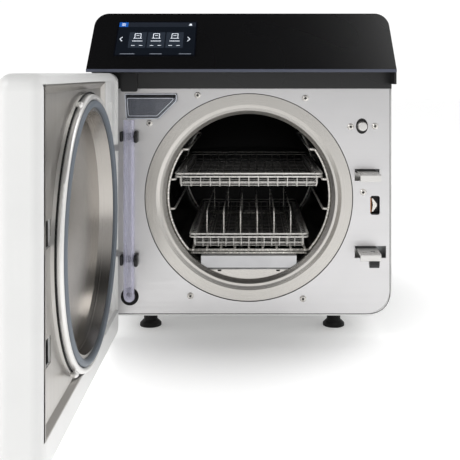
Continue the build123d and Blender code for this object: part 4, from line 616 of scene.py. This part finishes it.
def finish_mesh(name, mesh, body, material, smooth=True):
    """Makes the scene's object of a bmesh and gives it its body and material."""
    bmesh.ops.recalc_face_normals(mesh, faces=mesh.faces)
    data = bpy.data.meshes.new(name)
    mesh.to_mesh(data)
    mesh.free()
    for face in data.polygons:
        face.use_smooth = smooth
    data.materials.append(material)
    obj = bpy.data.objects.new(name, data)
    bpy.context.scene.collection.objects.link(obj)
    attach(obj, body)
    return obj


def wire_object(name, wires, body, material, sides=8):
    """One object of any number of wires."""
    mesh = bmesh.new()
    for points, radius, closed in wires:
        sweep_round(mesh, [at(*p) for p in points], radius / 1000, sides, closed)
    return finish_mesh(name, mesh, body, material)


# ---------------------------------------------------------------- screws and clips

SCREW_PLACES = (
    (-155, 363),
    (-74, 410),
    (107, 405),
    (183, 357),
    (224, 358),
    (204, 247),
    (-86, 73),
    (103, 68),
)
# Half sections as (radius, y): a pan head with its recess, and the recess's floor, which is coloured
# black as painted shade.
SCREW_HEAD = (
    (5.5, 0),
    (5.5, -0.7),
    (5.1, -1.5),
    (4.2, -2.3),
    (3.1, -2.8),
    (2.4, -2.95),
    (2.2, -2.8),
    (2.0, -1.2),
    (0, -1.2),
)
SCREW_RECESS_SHADE = ((2.0, -1.25), (1.6, -1.9), (0, -1.6))
screw_mesh = bmesh.new()
recess_shade_mesh = bmesh.new()
for screw_x, screw_z in SCREW_PLACES:
    lathe(screw_mesh, (screw_x, PANEL_FRONT, screw_z), SCREW_HEAD, sides=24)
    lathe(recess_shade_mesh, (screw_x, PANEL_FRONT, screw_z), SCREW_RECESS_SHADE, sides=6)
screws = finish_mesh("screw_heads", screw_mesh, "cabinet", WIRE)
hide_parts("panel_screws")
# Black floors in the screws' recesses: painted shade.
finish_mesh("screw_recess_shades", recess_shade_mesh, "cabinet", BLACK_PLASTIC)

CLIP_LEVELS = (341, 135)
# Two opposite corners and the rounding of each lobe, with Z from the clip's own level.
CLIP_LOBES = (
    ((-202.5, -297, -8), (-197.1, PANEL_FRONT, 9), 2.4),
    ((-178.9, -298, -10), (-172.6, PANEL_FRONT, 10), 2.8),
    ((-200, -282, -6), (-175, PANEL_FRONT, 6), 0.8),
)
CLIP_BUTTON_PLACE = (-175.8, -298, 1)
CLIP_BUTTON = ((3.4, 2), (3.4, -1.2), (2.4, -2.6), (0, -2.9))


def raised(point, level):
    x, y, z = point
    return (x, y, level + z)


clip_mesh = bmesh.new()
for clip_z in CLIP_LEVELS:
    for low, high, bevel in CLIP_LOBES:
        rounded_box(clip_mesh, raised(low, clip_z), raised(high, clip_z), bevel)
    lathe(clip_mesh, raised(CLIP_BUTTON_PLACE, clip_z), CLIP_BUTTON, sides=18)
clips = finish_mesh("clip_lobes", clip_mesh, "cabinet", BLACK_PLASTIC)
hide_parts("tube_clips")


# ---------------------------------------------------------------- edges, seals and studs

mouth = [(circle("y", (CHAMBER_X, -265.6, CHAMBER_Z), 141.6), 1.2, LOOP)]
wire_object("mouth_lip", mouth, "cabinet", DOOR_RING)
dam_edge = [([(-54, -267.2, 114.6), (78, -267.2, 114.6)], 0.8, OPEN)]
wire_object("dam_edge", dam_edge, "cabinet", DOOR_RING)
dam_seal = [([(-64, -266.6, 116.3), (88, -266.6, 116.3)], 0.9, OPEN)]
wire_object("dam_seal", dam_seal, "cabinet", RUBBER, sides=6)
# A thin dark rubber ring round the flange's edge: a painted shadow line where the flange meets the
# panel.
flange_shadow_line = [(circle("y", (CHAMBER_X, -279.8, CHAMBER_Z), 174.7), 0.7, LOOP)]
wire_object("flange_shadow_line", flange_shadow_line, "cabinet", RUBBER, sides=6)
SEAM_X, SEAM_Y, SEAM_BEND = 249.25, -279.9, 40.25
SEAM_LOW, SEAM_HIGH = 42.75, 421
seam = [
    (-SEAM_X, SEAM_Y, SEAM_HIGH),
    (-SEAM_X, SEAM_Y, SEAM_LOW),
    (SEAM_X, SEAM_Y, SEAM_LOW),
    (SEAM_X, SEAM_Y, SEAM_HIGH),
]
panel_seal = [(rounded(seam, SEAM_BEND, steps=14), 0.6, OPEN)]
wire_object("panel_seal", panel_seal, "cabinet", RUBBER, sides=6)
ring_seal = [(circle("x", (-201.4, DOOR_RING_Y, CHAMBER_Z), 183.0), 1.3, LOOP)]
wire_object("door_ring_seal", ring_seal, "door", RUBBER)

# The door ring's two cap nuts: a ball each, on a short cone that points along X. Radii in metres.
STUD_PLACES = ((-628, 407.5), (-655, 84))
BALL_X, STEM_X = -196.5, -199.5
BALL_RADIUS = 0.0042
STEM_WIDE, STEM_NARROW, STEM_LENGTH = 0.003, 0.0022, 0.005
stud_mesh = bmesh.new()
for stud_y, stud_z in STUD_PLACES:
    ball = bmesh.ops.create_uvsphere(stud_mesh, u_segments=20, v_segments=12, radius=BALL_RADIUS)
    for vertex in ball["verts"]:
        vertex.co += at(BALL_X, stud_y, stud_z)
    stem = bmesh.ops.create_cone(
        stud_mesh,
        cap_ends=True,
        segments=16,
        radius1=STEM_WIDE,
        radius2=STEM_NARROW,
        depth=STEM_LENGTH,
    )
    for vertex in stem["verts"]:
        vertex.co = Vector((vertex.co.z, vertex.co.y, vertex.co.x)) + at(STEM_X, stud_y, stud_z)
finish_mesh("ring_studs", stud_mesh, "door", DOOR_RING)

# Painted highlights on the funnel's edges as (x, z): its outline, and the line of its wall inside.
FUNNEL_OUTLINE = ((-195, 412), (-109.2, 412), (-109.2, 400.4), (-139.4, 371), (-192.4, 371))
FUNNEL_INNER = ((-191.5, 405), (-114.5, 405), (-114.5, 402.6), (-141.5, 375.6), (-189, 375.6))
FUNNEL_CORNER = 3
funnel_highlights = [
    (rounded([(x, y, z) for x, z in outline], FUNNEL_CORNER, LOOP), radius, LOOP)
    for outline, y, radius in ((FUNNEL_OUTLINE, -287.6, 0.75), (FUNNEL_INNER, -287.9, 0.45))
]
wire_object("funnel_highlights", funnel_highlights, "cabinet", CLEAR_HIGHLIGHT)

# Painted highlights along the edges of the tube's bore and of the water column in it, as (x from its
# axis, radius).
TUBE_X, TUBE_Y = -188, -290.5
TUBE_LOW, TUBE_HIGH = 112, 366
BORE_HIGHLIGHTS = ((-5.6, 0.55), (-1.8, 0.3), (5.4, 0.55))
bore_highlights = [
    ([(TUBE_X + x, TUBE_Y, TUBE_LOW), (TUBE_X + x, TUBE_Y, TUBE_HIGH)], radius, OPEN)
    for x, radius in BORE_HIGHLIGHTS
]
wire_object("tube_bore_highlights", bore_highlights, "cabinet", CLEAR_HIGHLIGHT)

# A known fault: the dimples' four rings all lie in one place, at the right of the lower latch
# bracket's top. There should be two on each of the two brackets.
DIMPLE_PLACE, DIMPLE_RADIUS, DIMPLE_RINGS = (216.5, -304, 152.8), 3.2, 4
dimples = [(circle("z", DIMPLE_PLACE, DIMPLE_RADIUS, 24), 0.5, LOOP)] * DIMPLE_RINGS
wire_object("bracket_dimples", dimples, "cabinet", GALVANISED, sides=6)


# ---------------------------------------------------------------- wire goods

HOOP_RADIUS = 137.5
RACK_FRONT, RACK_BACK = -262, 118
RACK_WIRE = 2.0
SHELF_Z = 146
SHELF_WIRES, SHELF_PITCH = 9, 24
RAIL_LEVELS = (216, 266, 317)
RAIL_WIDTH, RAIL_BEND = 9, 5
FRONT_BAR_HALF, FRONT_BAR_WIRE = 98, 1.9
FRONT_BAR_Y, FRONT_BAR_Z = RACK_FRONT + 0.5, 141.4


def chord(level):
    """Half the width of the hoops' circle at a level."""
    offset = level - CHAMBER_Z
    return sqrt(HOOP_RADIUS * HOOP_RADIUS - offset * offset)


def hoop_angle(level):
    """The angle from +X, in degrees, at which the hoops' circle is at a level."""
    return degrees(asin((level - CHAMBER_Z) / HOOP_RADIUS))


def hoop(y, start, end, steps=28):
    """Points on the hoops' circle, between angles in degrees from +X."""
    made = []
    for step in range(steps + 1):
        angle = radians(start + (end - start) * step / steps)
        made.append((CHAMBER_X + HOOP_RADIUS * cos(angle), y, CHAMBER_Z + HOOP_RADIUS * sin(angle)))
    return made


def crossbar(half, y, z):
    """A straight run across the chamber's middle."""
    return [(CHAMBER_X - half, y, z), (CHAMBER_X + half, y, z)]


rack_wires = []
shelf_angle = hoop_angle(SHELF_Z)
top_angle = hoop_angle(RAIL_LEVELS[-1])
hoop_front, hoop_back = RACK_FRONT + RACK_WIRE, RACK_BACK - RACK_WIRE
for hoop_y in (hoop_front, hoop_back):
    for low, high in ((shelf_angle, top_angle), (180 - shelf_angle, 180 - top_angle)):
        rack_wires.append((hoop(hoop_y, low, high), RACK_WIRE, OPEN))
    rack_wires.append((crossbar(chord(SHELF_Z), hoop_y, SHELF_Z), RACK_WIRE, OPEN))
for shelf in range(SHELF_WIRES):
    x = CHAMBER_X + (shelf - SHELF_WIRES // 2) * SHELF_PITCH
    rack_wires.append(([(x, RACK_FRONT, SHELF_Z), (x, RACK_BACK, SHELF_Z)], RACK_WIRE, OPEN))
for rail_z in RAIL_LEVELS:
    outer = chord(rail_z)
    for side in (-1, 1):
        x_out = CHAMBER_X + side * outer
        x_in = CHAMBER_X + side * (outer - RAIL_WIDTH)
        path = [
            (x_out, hoop_front, rail_z),
            (x_in, hoop_front, rail_z),
            (x_in, hoop_back, rail_z),
            (x_out, hoop_back, rail_z),
        ]
        rack_wires.append((rounded(path, RAIL_BEND), RACK_WIRE, OPEN))
rack_wires.append((crossbar(FRONT_BAR_HALF, FRONT_BAR_Y, FRONT_BAR_Z), FRONT_BAR_WIRE, OPEN))
rack_piece = wire_object("rack_wire", rack_wires, "tray_rack", WIRE, sides=10)
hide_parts("tray_rack")

TRAY_FRONT, TRAY_BACK = -254, 118
RIM_HEIGHT = 8
RIM_WIRE, RIM_BEND = 1.5, 8
LONG_WIRE, LONG_BEND, LONG_WIRES = 0.85, 5, 15
CROSS_WIRE, CROSS_BEND = LONG_WIRE * 0.8, 4
WALL_BEND, WALL_SHARE = 7, 0.45
# How far the middles of the wires at the flange are over its level, and those of the floor's long
# wires under what their radius would give.
FLANGE_WIRE_UP, LONG_WIRE_UP, CROSS_WIRE_UP, FLOOR_DROP = 1.2, 1.5, 1.4, 1.2
# How far wires stay in from the tray's front and back, and from the width of its floor or flange.
LONG_INSET, CROSS_INSET, WALL_INSET = 2.4, 6, 3.6
LONG_MARGIN, CROSS_MARGIN, CROSS_END_MARGIN, WALL_MARGIN = 3, 1, 2, 1.5


def level_loop(half_width, inset, height, bend):
    """A level loop round a tray, so far in from its front and back, with its corners rounded."""
    left, right = CHAMBER_X - half_width, CHAMBER_X + half_width
    front, back = TRAY_FRONT + inset, TRAY_BACK - inset
    corners = [(left, front), (right, front), (right, back), (left, back)]
    return rounded([(x, y, height) for x, y in corners], bend, LOOP)


def basket(name, node_name, body, inside, outside, floor_z, flange_z, cross_wires):
    """A basket tray of round wire: inside is its width at the floor, outside over the flange."""
    half_in = inside / 2
    half_out = outside / 2
    low = floor_z + LONG_WIRE - FLOOR_DROP
    wires = []
    # the rim's wire and the wire round the flange
    for height in (flange_z + RIM_HEIGHT - RIM_WIRE, flange_z + FLANGE_WIRE_UP):
        loop = level_loop(half_out - RIM_WIRE, RIM_WIRE, height, RIM_BEND)
        wires.append((loop, RIM_WIRE, LOOP))
    # long wires: down the front wall, along the floor and up the back wall
    front, back = TRAY_FRONT + LONG_INSET, TRAY_BACK - LONG_INSET
    top = flange_z + LONG_WIRE_UP
    for index in range(LONG_WIRES):
        x = CHAMBER_X + (index / (LONG_WIRES - 1) - 0.5) * 2 * (half_in - LONG_MARGIN)
        path = [(x, front, top), (x, front, low), (x, back, low), (x, back, top)]
        wires.append((rounded(path, LONG_BEND), LONG_WIRE, OPEN))
    # cross wires: over the flange, down the side, across the floor and up again
    first, length = TRAY_FRONT + CROSS_INSET, TRAY_BACK - TRAY_FRONT - 2 * CROSS_INSET
    bottom, top = low + 2 * LONG_WIRE, flange_z + CROSS_WIRE_UP
    end, wall = half_out - CROSS_END_MARGIN, half_in - CROSS_MARGIN
    for index in range(cross_wires):
        y = first + index / (cross_wires - 1) * length
        path = [
            (CHAMBER_X - end, y, top),
            (CHAMBER_X - wall, y, top),
            (CHAMBER_X - wall, y, bottom),
            (CHAMBER_X + wall, y, bottom),
            (CHAMBER_X + wall, y, top),
            (CHAMBER_X + end, y, top),
        ]
        wires.append((rounded(path, CROSS_BEND), CROSS_WIRE, OPEN))
    # one wire round the wall
    height = low + WALL_SHARE * (flange_z - low)
    loop = level_loop(half_in - WALL_MARGIN, WALL_INSET, height, WALL_BEND)
    wires.append((loop, LONG_WIRE, LOOP))
    made = wire_object(name, wires, body, TRAY_WIRE, sides=6)
    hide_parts(node_name)


UPPER_FLOOR, UPPER_FLANGE = 253, 268.3
LOWER_FLOOR = 149.8
LOWER_FLANGE = LOWER_FLOOR + UPPER_FLANGE - UPPER_FLOOR
basket("upper_basket", "upper_tray", "upper_tray", 238, 256, UPPER_FLOOR, UPPER_FLANGE, 16)
basket("lower_basket", "lower_tray", "lower_tray", 190, 206, LOWER_FLOOR, LOWER_FLANGE, 26)

POUCH_DIVIDERS, POUCH_PITCH = 6, 29.5
POUCH_WIRE, POUCH_BEND = 1.4, 12
POUCH_FLOOR, POUCH_LOW, POUCH_HIGH = 152, 4.4, 54.5
POUCH_MIDDLE, POUCH_HALF, POUCH_BAR_Y, POUCH_BAR_UP = -68, 148.5, 120, 1.5
pouch_wires = []
middle_divider = (POUCH_DIVIDERS - 1) / 2
front, back = POUCH_MIDDLE - POUCH_HALF, POUCH_MIDDLE + POUCH_HALF
low, high = POUCH_FLOOR + POUCH_LOW, POUCH_FLOOR + POUCH_HIGH
for divider in range(POUCH_DIVIDERS):
    x = CHAMBER_X + (divider - middle_divider) * POUCH_PITCH
    corners = [(x, front, low), (x, back, low), (x, back, high), (x, front, high)]
    pouch_wires.append((rounded(corners, POUCH_BEND, LOOP), POUCH_WIRE, LOOP))
half = middle_divider * POUCH_PITCH + POUCH_WIRE
for y in (POUCH_MIDDLE - POUCH_BAR_Y, POUCH_MIDDLE + POUCH_BAR_Y):
    pouch_wires.append((crossbar(half, y, POUCH_FLOOR + POUCH_BAR_UP), POUCH_WIRE, OPEN))
pouch_piece = wire_object("pouch_wire", pouch_wires, "lower_tray", WIRE, sides=10)
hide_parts("pouch_rack")


# ---------------------------------------------------------------- display

SLOPE_RUN, SLOPE_RISE = 90.0, 96.4
SLOPE = sqrt(SLOPE_RUN**2 + SLOPE_RISE**2)
UP_SLOPE = Vector((0, SLOPE_RUN, SLOPE_RISE)) / SLOPE
OUT_SLOPE = Vector((0, -SLOPE_RISE, SLOPE_RUN)) / SLOPE
SLOPE_FOOT = Vector((-143, -332, 453.6))
SCREEN_UP, SCREEN_PROUD = 70, 0.8
SCREEN_CENTRE = SLOPE_FOOT + UP_SLOPE * SCREEN_UP
# How far the page's layers stand off the glass, and where their undersides are.
PAGE_LIFT, PANE_LIFT, MARK_LIFT, TOP_LIFT = 0.06, 0.10, 0.14, 0.18
UNDERSIDE = 0.02


def on_screen(x, up, lift):
    """A point of the display: x and up from its centre, in millimetres."""
    out = OUT_SLOPE * (SCREEN_PROUD + lift)
    return at(*(SCREEN_CENTRE + Vector((x, 0, 0)) + UP_SLOPE * up + out))


def decal(name, outlines, lift, material):
    """Flat outlines that stand a hair proud of the display, each a closed run of points."""
    mesh = bmesh.new()
    for outline in outlines:
        low = [mesh.verts.new(on_screen(x, up, UNDERSIDE)) for x, up in outline]
        high = [mesh.verts.new(on_screen(x, up, lift)) for x, up in outline]
        mesh.faces.new(high)
        mesh.faces.new(list(reversed(low)))
        join_rings(mesh, low, high)
    finish_mesh(name, mesh, "cabinet", material, smooth=False)


def rectangle(x, up, width, height):
    half_x, half_up = width / 2, height / 2
    return [
        (x - half_x, up - half_up),
        (x + half_x, up - half_up),
        (x + half_x, up + half_up),
        (x - half_x, up + half_up),
    ]


def soft_rectangle(x, up, width, height, corner=1.5):
    """A rectangle with its corners rounded."""
    made = []
    for side, rise, start in ((1, -1, 270), (1, 1, 0), (-1, 1, 90), (-1, -1, 180)):
        for turn in (0, 22.5, 45, 67.5, 90):
            angle = radians(start + turn)
            corner_x = x + side * (width / 2 - corner) + corner * cos(angle)
            corner_up = up + rise * (height / 2 - corner) + corner * sin(angle)
            made.append((corner_x, corner_up))
    return made


def disc(x, up, radius):
    return [(x + radius * cos(angle), up + radius * sin(angle)) for angle in turns(20)]


def line(x0, up0, x1, up1, width):
    """A straight stroke from one point to another."""
    run = Vector((x1 - x0, up1 - up0)).normalized()
    side = Vector((-run.y, run.x)) * width / 2
    return [
        (x0 - side.x, up0 - side.y),
        (x1 - side.x, up1 - side.y),
        (x1 + side.x, up1 + side.y),
        (x0 + side.x, up0 + side.y),
    ]


PAGE = glow("screen_page", (0.004, 0.006, 0.010), 0.4)
BAR = glow("screen_bar", (0.012, 0.015, 0.022), 0.5)
TILE = glow("screen_tile", (0.016, 0.021, 0.030), 0.6)
BLUE = glow("screen_blue", (0.008, 0.07, 0.30), 0.7)
INK = glow("screen_ink", (0.62, 0.66, 0.72), 0.9)
DIM = glow("screen_dim", (0.20, 0.22, 0.26), 0.8)

PAGE_WIDTH, PAGE_HEIGHT = 130, 77
BAR_UP, BAR_HEIGHT = 33, 11
MENU_X = -57.5
TILES = (-31, 0, 31)
decal("screen_page", [soft_rectangle(0, 0, PAGE_WIDTH, PAGE_HEIGHT)], PAGE_LIFT, PAGE)
decal("screen_top_bar", [rectangle(0, BAR_UP, PAGE_WIDTH, BAR_HEIGHT)], PANE_LIFT, BAR)
decal("screen_menu", [rectangle(MENU_X, BAR_UP, 15, BAR_HEIGHT)], MARK_LIFT, BLUE)
menu_lines = [rectangle(MENU_X, BAR_UP + up, 6, 0.9) for up in (-2.4, 0, 2.4)]
decal("screen_menu_lines", menu_lines, TOP_LIFT, INK)
decal("screen_tiles", [soft_rectangle(x, -4, 29, 37) for x in TILES], PANE_LIFT, TILE)

# A plain pictogram in each tile, of strokes from (x, up) to (x, up), with x from the tile's middle.
STROKES = (
    (-5, 11, 5, 11),
    (-5, 11, -5, 0),
    (5, 11, 5, 0),
    (-7, 0, 7, 0),
    (-2.5, 6.5, 2.5, 6.5),
)
marks = [line(x + x0, up0, x + x1, up1, 1.0) for x in TILES for x0, up0, x1, up1 in STROKES]
decal("screen_pictograms", marks, MARK_LIFT, INK)
rows = [rectangle(x, -6.5, 17, 1.2) for x in TILES]
rows += [rectangle(x + side, -17, 6, 0.9) for x in TILES for side in (-6.5, 6.5)]
decal("screen_rows", rows, MARK_LIFT, INK)
arrow_places = ((-60.5, -56.5), (56.5, 52.5))
arrows = [line(tip, -2, tail, up, 1.1) for tip, tail in arrow_places for up in (3, -7)]
decal("screen_arrows", arrows, MARK_LIFT, INK)
decal("screen_bell", [disc(56, 33.4, 2.0), rectangle(56, 31.2, 5.4, 1.0)], MARK_LIFT, INK)
status = [rectangle(x, -36.5, width, 1.0) for x, width in ((-45, 24), (2, 20), (50, 20))]
decal("screen_status", status, MARK_LIFT, DIM)


# ---------------------------------------------------------------- floor

FLOOR_MIDDLE, FLOOR_SIZE = (0.16, 0.2, 0), 24
# The paper glows a little near its middle and more from one distance to another about it, in metres:
# the dimmer glow near the middle is a painted shade round the cabinet.
GLOW_IN_PAINTED_SHADE, GLOW_FAR = 0.12, 0.64
PAINTED_SHADE_FADE_START, PAINTED_SHADE_FADE_END = 0.24, 0.55

bpy.ops.mesh.primitive_plane_add(size=FLOOR_SIZE, location=FLOOR_MIDDLE)
floor = bpy.context.object
floor.name = "floor"
paper = Shader("floor_paper", (0.95, 0.95, 0.95), 0.7)
paper.bsdf.inputs["Emission Color"].default_value = (1, 1, 1, 1)
# The glow rises with distance from the middle, leaving a painted shade round the cabinet.
glow_past_painted_shade = paper.node("ShaderNodeMapRange", interpolation_type="SMOOTHSTEP")
glow_past_painted_shade.inputs["From Min"].default_value = PAINTED_SHADE_FADE_START
glow_past_painted_shade.inputs["From Max"].default_value = PAINTED_SHADE_FADE_END
glow_past_painted_shade.inputs["To Min"].default_value = GLOW_IN_PAINTED_SHADE
glow_past_painted_shade.inputs["To Max"].default_value = GLOW_FAR
spot = paper.node("ShaderNodeTexCoord")
reach = paper.node("ShaderNodeVectorMath", operation="LENGTH")
paper.link(spot.outputs["Object"], reach.inputs[0])
paper.link(reach.outputs["Value"], glow_past_painted_shade.inputs["Value"])
paper.link(glow_past_painted_shade.outputs["Result"], paper.bsdf.inputs["Emission Strength"])
paper.vary_rough(paper.noise(paper.coordinates(), scale=20, detail=2), amount=0.05)
floor.data.materials.append(paper.material)
